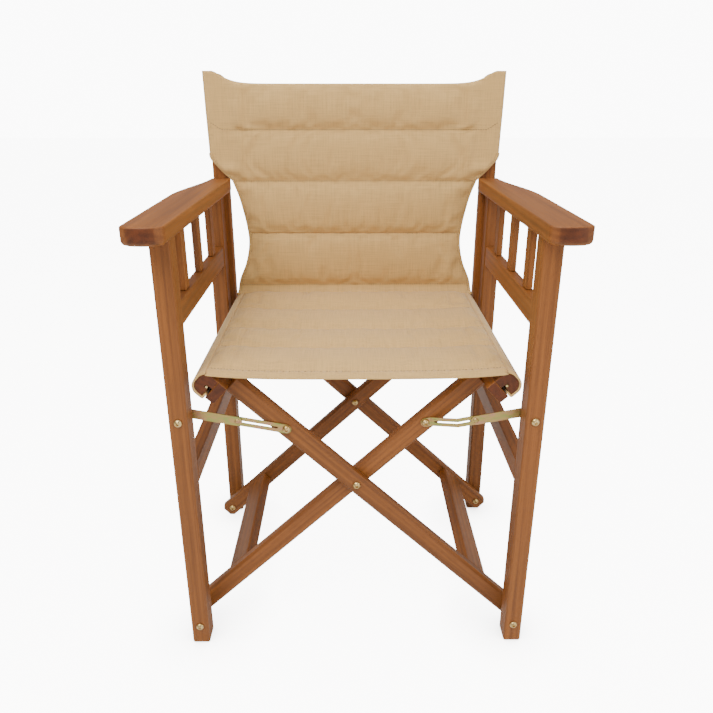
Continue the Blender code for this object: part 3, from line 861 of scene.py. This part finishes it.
@dataclass
class SeatSling:
    """The quilted seat, taut between the two rails, with a rolled hem in front."""

    half: float
    level: float
    front: float = 0.0112
    hem: float = 0.0310
    seams: tuple = (0.1250, 0.2160, 0.3290)
    rear: float = 0.4243
    sag: float = 0.0060
    face_puff: float = 0.0078
    back_puff: float = 0.0020
    roundness: float = 0.7

    def place(self, u: np.ndarray, t: np.ndarray) -> np.ndarray:
        """The seat's middle surface: level at the rails and a little lower between them.

        Args:
            u: -1 to 1 across.
            t: the distance from the front of the legs.
        Returns:
            The points.
        """
        drop = self.sag * (1.0 - u ** 4) * smooth_step((self.rear - t) / 0.12)
        turned = 0.0025 * (1.0 - smooth_step((t - self.front) / 0.012))
        return np.stack([u * self.half, FRONT + t, self.level - drop - turned], axis=-1)

    def outward(self, u: np.ndarray, t: np.ndarray) -> np.ndarray:
        """The face's direction: straight up."""
        return np.stack([0.0 * u, 0.0 * u, 0.0 * u + 1.0], axis=-1)

    def calm(self, u: np.ndarray, t: np.ndarray) -> np.ndarray:
        """How much of the wadding is there: less near the rails, where the cloth is stretched."""
        return 0.12 + 0.88 * np.sqrt(np.clip((1.0 - np.abs(u)) / 0.12, 0.0, 1.0))

    def panel(self) -> QuiltedPanel:
        """The whole seat."""
        edges = (self.front, self.hem, *self.seams, self.rear)
        return QuiltedPanel("seat_quilt", edges, self.place, self.outward, self.calm,
                            self.face_puff, self.back_puff, roundness=self.roundness)


@dataclass
class RailWrap:
    """The canvas that passes over a seat rail's rounded nose and up into its groove.

    In bar coordinates, s along the bar and n across it, the path is a round of the nose's corner
    radius plus the gap, the nose's flat, the lower round, and a turn up into the groove.
    """

    side: float
    nose_end: float = 0.2845
    nose_round: float = 0.0120
    nose_low: float = -0.0290
    nose_high: float = 0.0010
    groove: float = 0.26265
    gap: float = 0.0022
    half: float = 0.0015
    front: float = 0.0112
    rear: float = 0.4295

    def path(self) -> np.ndarray:
        """The cloth's middle line as (s, n) points."""
        r = self.nose_round + self.gap
        s = self.nose_end - self.nose_round
        upper = np.radians(np.linspace(90.0 - math.degrees(BAR_ANGLE), 0.0, 14))
        lower = np.radians(np.linspace(0.0, -90.0, 18))
        over = np.stack([s + r * np.cos(upper), self.nose_high - self.nose_round + r * np.sin(upper)], -1)
        under = np.stack([s + r * np.cos(lower), self.nose_low + self.nose_round + r * np.sin(lower)], -1)
        turn = np.radians(np.linspace(-90.0, -180.0, 6))
        small = 0.0016
        into = np.stack([self.groove + small + small * np.cos(turn),
                         self.nose_low - self.gap + small + small * np.sin(turn)], -1)
        climb = np.array([[self.groove, self.nose_low + 0.006]])
        return np.concatenate([over, under[1:], into, climb])

    def world(self, sn: np.ndarray) -> np.ndarray:
        """(x, z) of bar points: turned by the bar's angle about the centre bolt."""
        x = sn[:, 0] * math.cos(BAR_ANGLE) - sn[:, 1] * math.sin(BAR_ANGLE)
        z = CENTRE_Z + sn[:, 0] * math.sin(BAR_ANGLE) + sn[:, 1] * math.cos(BAR_ANGLE)
        return np.stack([self.side * x, z], axis=-1)

    def build(self, name: str, seams: Sequence[float], finish: bpy.types.Material) -> bpy.types.Object:
        """Makes the wrap as a closed strip with a shallow valley at each seam.

        Args:
            name: the piece's name.
            seams: the seams' distances from the front of the legs.
            finish: the canvas.
        Returns:
            The object.
        """
        line = self.path()
        along = np.gradient(line, axis=0)
        along /= np.linalg.norm(along, axis=1, keepdims=True)
        out = np.stack([-along[:, 1], along[:, 0]], axis=-1)
        depth = np.linspace(self.front, self.rear, 150)
        valley = sum(np.exp(-((depth - seam) / 0.0022) ** 2) for seam in seams)
        swell = self.half * (1.0 + 0.45 * (1.0 - np.clip(valley, 0.0, 1.0)))
        fade = np.clip(1.0 - np.arange(len(line)) / 16.0, 0.0, 1.0)
        outer_half = self.half + (swell[:, None] - self.half) * fade[None, :]
        rows = []
        for sign in (1.0, -1.0):
            reach = outer_half if sign > 0 else np.full_like(outer_half, self.half)
            points = line[None] + sign * reach[..., None] * out[None]
            flat = self.world(points.reshape(-1, 2)).reshape(len(depth), len(line), 2)
            y = np.broadcast_to((FRONT + depth)[:, None], flat.shape[:2])
            rows.append(np.stack([flat[..., 0], y, flat[..., 1]], axis=-1))
        rings = np.concatenate([rows[0], rows[1][:, ::-1]], axis=1)
        count, columns = rings.shape[:2]
        faces = grid_faces(count, columns, True).tolist()
        i = np.arange(len(line) - 1)
        cap = np.stack([i, i + 1, columns - 2 - i, columns - 1 - i], axis=-1)
        faces += cap[:, ::-1].tolist() + (cap + (count - 1) * columns).tolist()
        thing = link_mesh(name, rings, faces, finish)
        point_outwards(thing)
        return thing


@dataclass
class PostSleeve:
    """A canvas pocket over a back post: a rounded box tube, closed on top, hemmed below."""

    node: str
    body: str
    corner: float = 0.0042
    top: float = 0.8355

    def ring(self, inset: float, z: float, low: np.ndarray, high: np.ndarray) -> np.ndarray:
        """A rounded rectangle at a height, drawn in by the inset.

        Args:
            inset: how far it is drawn in.
            z: its height.
            low: the box's lowest corner.
            high: the box's highest corner.
        Returns:
            An (n, 3) array.
        """
        r = self.corner
        turn = np.radians(np.linspace(0.0, 90.0, 6))
        quarter = np.stack([np.cos(turn), np.sin(turn)], axis=-1) * max(r - 0.5 * inset, 0.001)
        points = []
        for k, (sx, sy) in enumerate(((1, 1), (-1, 1), (-1, -1), (1, -1))):
            cx = (high[0] - r - inset / 2) if sx > 0 else (low[0] + r + inset / 2)
            cy = (high[1] - r - inset / 2) if sy > 0 else (low[1] + r + inset / 2)
            arc = quarter * np.array([sx, sy])
            arc = arc if k % 2 == 0 else arc[::-1]
            points.append(arc + np.array([cx, cy]))
        flat = np.concatenate(points)
        return np.column_stack([flat, np.full(len(flat), z)])

    def build(self, finish: bpy.types.Material) -> bpy.types.Object:
        """Makes the pocket: inside wall up, over, and outside wall with a hem's swell.

        Its top is cut to the slope of the back's top edge by scaling each point's height.

        Args:
            finish: the canvas.
        Returns:
            The object.
        """
        low, high = (np.array(v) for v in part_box(self.node))
        wall = 0.0026
        levels, insets = [], []
        for z in np.linspace(self.top - 0.006, low[2] + 0.0006, 30):
            levels.append(z)
            insets.append(2.0 * wall)
        levels += [low[2], low[2]]
        insets += [1.5 * wall, 0.5 * wall]
        for z in np.linspace(low[2] + 0.0006, self.top - 0.0035, 46):
            hem = 0.0006 * math.exp(-((z - low[2] - 0.014) / 0.0012) ** 2)
            ripple = 0.0004 * math.sin(z * 160.0)
            levels.append(z)
            insets.append(hem + ripple + 0.0003)
        for angle in np.radians((25.0, 50.0, 70.0, 90.0)):
            levels.append(self.top - 0.0035 + 0.0035 * math.sin(angle))
            insets.append(0.0003 + 0.007 * (1.0 - math.cos(angle)))
        rings = np.stack([self.ring(i, z, low, high) for i, z in zip(insets, levels)])
        sloped = BackSling().top_edge(rings[..., 0]) - low[2]
        rings[..., 2] = low[2] + (rings[..., 2] - low[2]) * sloped / (self.top - low[2])
        return tube(self.name(), rings, finish)

    def flat(self) -> tuple:
        """The pocket's cut size: the way round the post, and its height."""
        low, high = (np.array(v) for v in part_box(self.node))
        width, depth, height = high - low
        return float(2.0 * (width + depth)), float(height)

    def name(self) -> str:
        """The piece's name."""
        return self.node.replace("post_sleeve", "sleeve_canvas")


# ---------------------------------------------------------------------------------------------
# Turned and shaped pieces
# ---------------------------------------------------------------------------------------------


@dataclass
class CoachBolt:
    """A dome-headed bolt with a hexagon socket and a cap nut, in place of a plain solid."""

    node: str
    body: str
    head_radius: float = 0.0060
    head_height: float = 0.0042
    shank: float = 0.0028
    nut_radius: float = 0.0052
    nut_height: float = 0.0045
    socket: float = 0.0021

    def build(self, finish: bpy.types.Material) -> bpy.types.Object:
        """Turns the bolt: a radius for every angle at each station along it.

        A hexagon's radius is its flat's distance over the cosine of the angle from the nearest
        flat's middle; a round station has one radius all round.

        Args:
            finish: the plating.
        Returns:
            The object.
        """
        low, high = (np.array(v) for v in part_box(self.node))
        x, z = 0.5 * (low[0] + high[0]), 0.5 * (low[2] + high[2])
        head, nut = low[1] + self.head_height, high[1] - self.nut_height
        turn = np.linspace(0.0, 2.0 * math.pi, 48, endpoint=False)
        flat = np.abs(np.mod(turn, math.pi / 3) - math.pi / 6)
        hexagon = 0.90 / np.cos(math.pi / 6 - flat)
        whole = np.ones_like(turn)
        top = low[1]
        stations = [(top + 0.0026, 0.0002 * whole), (top + 0.0024, self.socket * 0.97 * hexagon)]
        stations += [(top + 0.0004, self.socket * hexagon), (top + 0.00012, self.socket * 1.12 * hexagon)]
        for angle in np.radians((26.0, 34.0, 42.0, 50.0, 58.0, 66.0, 74.0, 82.0)):
            fall = self.head_height * math.cos(angle) * 0.98
            stations.append((head - fall, self.head_radius * math.sin(angle) * whole))
        stations += [(head - 0.0002, self.head_radius * whole), (head, self.head_radius * 0.97 * whole)]
        stations += [(head, self.shank * whole), (nut, self.shank * whole)]
        stations += [(nut, self.nut_radius * hexagon), (nut + 0.0024, self.nut_radius * hexagon)]
        for angle in np.radians((10.0, 30.0, 50.0, 70.0, 86.0)):
            rise = (self.nut_height - 0.0027) * math.sin(angle)
            stations.append((nut + 0.0027 + rise, self.nut_radius * 0.84 * math.cos(angle) * whole))
        depth = np.array([s[0] for s in stations])
        radius = np.stack([s[1] for s in stations])
        rings = np.stack([x + radius * np.cos(turn), np.broadcast_to(depth[:, None], radius.shape),
                          z + radius * np.sin(turn)], axis=-1)
        thing = tube(self.node.replace("bolt", "turned_bolt").replace("pin", "turned_pin"), rings, finish)
        crease(thing)
        return thing


def crease(thing: bpy.types.Object, angle: float = 38.0) -> None:
    """Keeps edges sharper than an angle crisp in a smooth-shaded mesh.

    Args:
        thing: the piece.
        angle: the limit, in degrees.
    """
    thing.data.set_sharp_from_angle(angle=math.radians(angle))


@dataclass
class Armrest:
    """A shaped arm: bowed front, long ogee at the rear of its outer edge, rounded underside."""

    side: float
    node: str
    body: str
    outer: float = 0.281
    outer_rear: float = 0.255
    inner_front: float = 0.227
    inner_rear: float = 0.219
    front: float = -0.050
    bow: float = 0.007
    waist: float = 0.215
    rear: float = 0.4365
    corner: float = 0.009

    def outline(self) -> np.ndarray:
        """The plan: bowed front, outer edge with its cosine draw-in, rear, inner edge.

        Returns:
            An (n, 2) array, going round once.
        """
        c = self.corner
        middle = 0.5 * (self.outer + self.inner_front)
        half = self.outer - middle
        x = np.linspace(self.inner_front + c, self.outer - c, 16)
        bowed = np.stack([x, self.front - self.bow * (1.0 - ((x - middle) / half) ** 2)], -1)
        turn = np.radians(np.linspace(-68.0, 0.0, 8))
        shoulder = np.stack([self.outer - c + c * np.cos(turn),
                             self.front + c + c * np.sin(turn) - 0.0012], -1)
        y = np.linspace(self.front + 2 * c, self.waist, 12)
        straight = np.stack([np.full_like(y, self.outer), y], -1)
        y = np.linspace(self.waist, self.rear - 0.004, 36)[1:]
        share = (y - self.waist) / (self.rear + 0.001 - self.waist)
        drawn = (self.outer - self.outer_rear) * 0.5 * (1.0 - np.cos(math.pi * share))
        ogee = np.stack([self.outer - drawn, y], -1)
        turn = np.radians(np.linspace(20.0, 90.0, 5))
        nick = np.stack([self.outer_rear - 0.003 + 0.003 * np.cos(turn),
                         self.rear - 0.003 + 0.003 * np.sin(turn)], -1)
        turn = np.radians(np.linspace(90.0, 180.0, 9))
        rear = np.stack([self.inner_rear + c + c * np.cos(turn), self.rear - c + c * np.sin(turn)], -1)
        share = np.linspace(0.0, 1.0, 40)[1:-1]
        inner = np.stack([self.inner_rear + (self.inner_front - self.inner_rear) * share,
                          self.rear - c + (self.front + c - self.rear + c) * share], -1)
        turn = np.radians(np.linspace(180.0, 245.0, 8))
        near = np.stack([self.inner_front + c + c * np.cos(turn),
                         self.front + c + c * np.sin(turn) - 0.0012], -1)
        return np.concatenate([bowed, shoulder, straight, ogee, nick, rear, inner, near])

    def build(self, finish: bpy.types.Material) -> bpy.types.Object:
        """Carries the plan up the arm's thickness, drawn in by a round below and a small one above.

        Args:
            finish: the wood.
        Returns:
            The object.
        """
        low, high = (np.array(v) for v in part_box(self.node))
        plan = self.outline()
        ahead = np.roll(plan, -1, axis=0) - np.roll(plan, 1, axis=0)
        ahead /= np.linalg.norm(ahead, axis=1, keepdims=True)
        inward = np.stack([-ahead[:, 1], ahead[:, 0]], axis=-1)
        under, over = 0.0065, 0.0024
        levels, insets = [], []
        for angle in np.radians(np.linspace(0.0, 90.0, 7)):
            levels.append(low[2] + under - under * math.cos(angle))
            insets.append(under * (1.0 - math.sin(angle)))
        for angle in np.radians(np.linspace(0.0, 90.0, 5)):
            levels.append(high[2] - over + over * math.sin(angle))
            insets.append(over * (1.0 - math.cos(angle)))
        rings = []
        for z, inset in zip(levels, insets):
            flat = plan + inset * inward
            x, y = self.side * flat[:, 0], FRONT + flat[:, 1]
            rings.append(np.column_stack([x, y, np.full(len(flat), z)]))
        thing = tube(self.node.replace("armrest", "shaped_arm"), np.stack(rings), finish)
        crease(thing, 32.0)
        return thing


# ---------------------------------------------------------------------------------------------
# Assemblies
# ---------------------------------------------------------------------------------------------


@dataclass
class Woodwork:
    """Every board of the chair, each cut from its own plank."""

    finish: Hardwood = field(default_factory=Hardwood)

    def grain_of(self, node: str) -> Grain:
        """The way a board's grain runs, from what the board is."""
        if node.startswith(("outer_bar",)):
            return Grain.RISING_LEFT
        if node.startswith(("inner_bar",)):
            return Grain.RISING_RIGHT
        if "leg" in node or "slat" in node or "post" in node:
            return Grain.UPRIGHT
        return Grain.FRONT_TO_BACK

    def plank(self, node: str, number: int) -> bpy.types.Material:
        """The finish of one board, with its own pith line and tone.

        Args:
            node: the board.
            number: its place in the list, which spreads the tones.
        Returns:
            The material.
        """
        low, high = (np.array(v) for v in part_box(node))
        turn = 2.39996 * number
        away = 0.055 + 0.03 * math.cos(1.7 * number)
        centre = 0.5 * (low + high)
        pith = centre + away * np.array([math.cos(turn), 0.6 * math.sin(turn), 0.8 * math.sin(turn)])
        tone = 1.0 + 0.10 * math.sin(4.1 * number)
        return self.finish.make(f"hardwood_{node}", self.grain_of(node), pith, tone)

    def dress(self) -> dict:
        """Gives each wooden node its finish.

        Returns:
            The materials by node.
        """
        made = {}
        for number, part in enumerate(frame["record"]["subparts"]):
            if part["material_slot"] != "wood":
                continue
            node = part["node"]
            made[node] = self.plank(node, number)
            paint(node, made[node])
            LOG.info("%s is planed hardwood", node)
        return made


def paint(node: str, finish: bpy.types.Material) -> None:
    """Gives a node of the frame a finish in every material slot."""
    thing = frame["nodes"][node]
    thing = bpy.data.objects[thing] if isinstance(thing, str) else thing
    for place in thing.material_slots:
        place.material = finish


@dataclass
class Ironwork:
    """The plated fittings: turned bolts, spacers, hem rods and the slotted stays."""

    brass: bpy.types.Material = field(default_factory=lambda: BRASS.make("brass_plate"))
    zinc: bpy.types.Material = field(default_factory=lambda: YELLOW_ZINC.make("yellow_zinc_plate"))

    def dress(self, bodies: dict) -> None:
        """Finishes every metal node and turns the bolts.

        Args:
            bodies: the body of each node.
        """
        for part in frame["record"]["subparts"]:
            node, slot = part["node"], part["material_slot"]
            if slot not in ("bolt_steel", "stay_steel"):
                continue
            paint(node, self.brass if slot == "bolt_steel" else self.zinc)
            if "bolt" in node or node.startswith("stay_pin"):
                bolt = CoachBolt(node, bodies[node])
                thing = bolt.build(self.brass)
                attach(thing, bolt.body)
                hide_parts(node)
            LOG.info("%s is plated", node)


@dataclass
class Sling:
    """The whole canvas: seat, back in two parts, sleeves, bindings and stitching."""

    canvas: bpy.types.Material
    tape: bpy.types.Material
    thread: bpy.types.Material
    back: BackSling = field(default_factory=BackSling)
    upper_gather: Gather = field(default_factory=lambda: Gather("back_cloth", -0.2375, 0.5925))
    seat_gather: Gather = field(default_factory=lambda: Gather("seat_cloth", 0.2088, 0.515))
    lower_gather: Gather = field(default_factory=lambda: Gather("lower_back_cloth", 0.2088, 0.515))

    @staticmethod
    def upright(points: np.ndarray) -> np.ndarray:
        """Cloth coordinates of the back: x and z."""
        return points[:, (0, 2)]

    @staticmethod
    def level(points: np.ndarray) -> np.ndarray:
        """Cloth coordinates of the seat: x and y."""
        return points[:, (0, 1)]

    @staticmethod
    def around(points: np.ndarray) -> np.ndarray:
        """Cloth coordinates of a wrap: x less z for the way round, and y."""
        return np.stack([points[:, 0] - points[:, 2], points[:, 1]], axis=-1)

    @staticmethod
    def pocket(points: np.ndarray) -> np.ndarray:
        """Cloth coordinates of a sleeve: x plus y for the way round, and z."""
        return np.stack([points[:, 0] + points[:, 1], points[:, 2]], axis=-1)

    def make_back(self) -> None:
        """Builds the two parts of the back with their bindings and seams."""
        b = self.back
        seams = (b.split, b.second_seam, b.first_seam, b.top_middle)
        upper = b.panel("back_quilt_upper", seams).build(self.canvas)
        lower = b.panel("back_quilt_lower", (b.start, b.crease, b.split)).build(self.canvas)
        bound = {"upper": (b.split, 0.6995), "lower": (b.start, b.split)}
        parts = (("upper", upper, self.upper_gather), ("lower", lower, self.lower_gather))
        for part, thing, gather in parts:
            map_cloth(thing, self.upright)
            gather.dress(thing, f"back_sling_{part}")
            paths = [b.edge_path(side, *bound[part], 70) for side in (-1.0, 1.0)]
            tape = binding(f"back_binding_{part}", paths, self.tape, (0.0032, 0.0026), 0.0018)
            map_cloth(tape, self.upright)
            gather.dress(tape)
        self.sew_back(b)

    def sew_back(self, b: BackSling) -> None:
        """Sews the back's channels and its bindings, on both faces.

        Args:
            b: the back.
        """
        u = np.linspace(-0.985, 0.985, 120)
        jobs = ((self.upper_gather, "back_stitches_upper", (b.second_seam, b.first_seam), (b.split, 0.694)),
                (self.lower_gather, "back_stitches_lower", (b.split - 0.0012, b.crease), (b.start, b.split)))
        for gather, name, seams, bound in jobs:
            sewing = Stitching(name=name)
            for toward in (-1.0, 1.0):
                up = np.array([0.0, toward, 0.0])
                for seam in seams:
                    path = b.place(u, np.full_like(u, seam))
                    sewing.run(path + 0.0011 * up, up)
                for side in (-1.0, 1.0):
                    path = b.edge_path(side, *bound, 60)
                    path[:, 0] -= side * 0.0040
                    sewing.run(path + 0.0023 * up, up)
            gather.dress(sewing.build(self.thread))

    def make_seat(self) -> None:
        """Builds the seat, the wraps over both rails and the hem's stitching."""
        low, high = (np.array(v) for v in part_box("seat_sling"))
        seat = SeatSling(half=high[0] + 0.0004, level=low[2] + 0.0013)
        quilt = seat.panel().build(self.canvas)
        map_cloth(quilt, self.level)
        self.seat_gather.dress(quilt, "seat_sling")
        for side, body, name in ((-1.0, "outer_frame", "left"), (1.0, "inner_frame", "right")):
            wrap = RailWrap(side).build(f"seat_wrap_{name}", (seat.hem, *seat.seams), self.canvas)
            map_cloth(wrap, self.around)
            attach(wrap, body)
            f"{body.split('_')[0]}_seat_rail_nose"
            LOG.info("%s rides on %s", wrap.name, body)
        sewing = Stitching(name="seat_stitches")
        u = np.linspace(-0.985, 0.985, 90)
        for toward in (-1.0, 1.0):
            up = np.array([0.0, 0.0, toward])
            for seam in (seat.hem, *seat.seams):
                sewing.run(seat.place(u, np.full_like(u, seam)) + 0.0011 * up, up)
        self.seat_gather.dress(sewing.build(self.thread))

    def make_sleeves(self) -> None:
        """Builds the two pockets over the posts."""
        for name in ("left", "right"):
            pocket = PostSleeve(f"post_sleeve_{name}", f"side_{name}")
            thing = pocket.build(self.canvas)
            crease(thing, 60.0)
            map_cloth(thing, self.pocket)
            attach(thing, pocket.body)
            pocket.flat()
            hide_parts(pocket.node)
            LOG.info("%s rides on %s", thing.name, pocket.body)


@dataclass
class Studio:
    """A pale floor with a painted contact shadow, a pale surround, soft lights and the camera."""

    eye: tuple = (-0.00967, -1.1185, 0.8133)
    look_down: float = 23.85
    look_right: float = 0.556
    lens: float = 36.87
    shift: float = 0.0722
    room_light: float = 0.45
    paper_glow: float = 10.0
    paper_lit: float = 3.3

    def build(self) -> None:
        """Sets everything up."""
        self.floor()
        self.surround()
        self.lamp("key", (-1.1, -1.9, 2.8), 2.0, 96.0, (0.0, 0.0, 0.45))
        self.lamp("fill", (2.2, -1.8, 1.6), 2.4, 40.0, (0.0, 0.0, 0.45))
        self.lamp("top", (0.2, 0.3, 3.0), 2.4, 46.0, (0.0, 0.0, 0.4))
        self.camera()

    def floor(self) -> None:
        """A very large pale sheet under the chair, its camera-seen glow dimmed by ambient occlusion near the
        chair: a painted contact shadow.
        """
        mesh = bpy.data.meshes.new("floor")
        reach = 12.0
        corners = [(-reach, -reach, 0), (reach, -reach, 0), (reach, reach, 0), (-reach, reach, 0)]
        mesh.from_pydata(corners, [], [(0, 1, 2, 3)])
        paper = Palette("paper")
        paper.shader.inputs["Base Color"].default_value = (0.93, 0.93, 0.93, 1.0)
        paper.shader.inputs["Roughness"].default_value = 0.9
        paper.shader.inputs["Specular IOR Level"].default_value = 0.1
        seen = paper.node("LightPath").outputs["Is Camera Ray"]
        # Painted contact shadow: ambient occlusion dims the floor's glow where the chair stands close to it.
        painted_contact_shadow = paper.node("AmbientOcclusion", samples=8)
        painted_contact_shadow.inputs["Distance"].default_value = 0.09
        glow_with_painted_shadow = paper.maths("MULTIPLY_ADD", painted_contact_shadow.outputs["AO"], self.paper_glow - 1.0, 0.4)
        paper.shader.inputs["Emission Color"].default_value = (1.0, 1.0, 1.0, 1.0)
        paper.feed(paper.shader.inputs["Emission Strength"], paper.maths("MULTIPLY", glow_with_painted_shadow, seen))
        mesh.materials.append(paper.material)
        sheet = bpy.data.objects.new("floor", mesh)
        bpy.context.scene.collection.objects.link(sheet)

    def surround(self) -> None:
        """An even, near-white world."""
        world = bpy.data.worlds.new("surround")
        world.use_nodes = True
        tree = world.node_tree
        sky = tree.nodes["Background"]
        sky.inputs[0].default_value = (1.0, 0.98, 0.95, 1.0)
        sky.inputs[1].default_value = self.room_light
        seen = tree.nodes.new("ShaderNodeBackground")
        seen.inputs[1].default_value = self.paper_glow + self.paper_lit
        choose = tree.nodes.new("ShaderNodeMixShader")
        path = tree.nodes.new("ShaderNodeLightPath")
        tree.links.new(path.outputs["Is Camera Ray"], choose.inputs[0])
        tree.links.new(sky.outputs[0], choose.inputs[1])
        tree.links.new(seen.outputs[0], choose.inputs[2])
        tree.links.new(choose.outputs[0], tree.nodes["World Output"].inputs[0])
        bpy.context.scene.world = world

    def lamp(self, name: str, place: tuple, size: float, power: float, aim: tuple) -> None:
        """A square soft light that faces a point.

        Args:
            name: its name.
            place: where it stands.
            size: its side.
            power: its power in watts.
            aim: what it faces.
        """
        light = bpy.data.lights.new(name, "AREA")
        light.size = size
        light.energy = power
        light.color = (1.0, 0.93, 0.84)
        thing = bpy.data.objects.new(name, light)
        thing.location = place
        away = np.array(place) - np.array(aim)
        flat = math.hypot(away[0], away[1])
        thing.rotation_euler = (math.atan2(flat, away[2]), 0.0, math.atan2(away[0], -away[1]))
        bpy.context.scene.collection.objects.link(thing)

    def camera(self) -> None:
        """The view from in front and above."""
        lens = bpy.data.cameras.new("camera")
        lens.lens = self.lens
        lens.sensor_width = 36.0
        lens.shift_y = self.shift
        thing = bpy.data.objects.new("camera", lens)
        thing.location = self.eye
        thing.rotation_euler = (math.radians(90.0 - self.look_down), 0.0, -math.radians(self.look_right))
        bpy.context.scene.collection.objects.link(thing)
        bpy.context.scene.camera = thing


def body_of_node() -> dict:
    """The body of each node, from the record."""
    grouped = frame["record"]["behaviour"]["bodies"]
    return {node: body for body, nodes in grouped.items() for node in nodes}


def main() -> None:
    """Dresses the whole chair and sets up the studio."""
    logging.basicConfig(level=logging.INFO, format="%(message)s")
    Studio().build()
    bodies = body_of_node()
    planks = Woodwork().dress()
    for name, side in (("left", -1.0), ("right", 1.0)):
        arm = Armrest(side, f"armrest_{name}", f"side_{name}")
        thing = arm.build(planks[arm.node])
        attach(thing, arm.body)
        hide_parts(arm.node)
        LOG.info("%s rides on %s", thing.name, arm.body)
    Ironwork().dress(bodies)
    cloth = Canvas()
    sling = Sling(cloth.make("khaki_canvas"), Canvas(tone=0.86).make("khaki_tape"), ThreadWithPaintedSeamShade().make("thread"))
    sling.make_back()
    sling.make_seat()
    sling.make_sleeves()


if __name__ == "__main__":
    main()
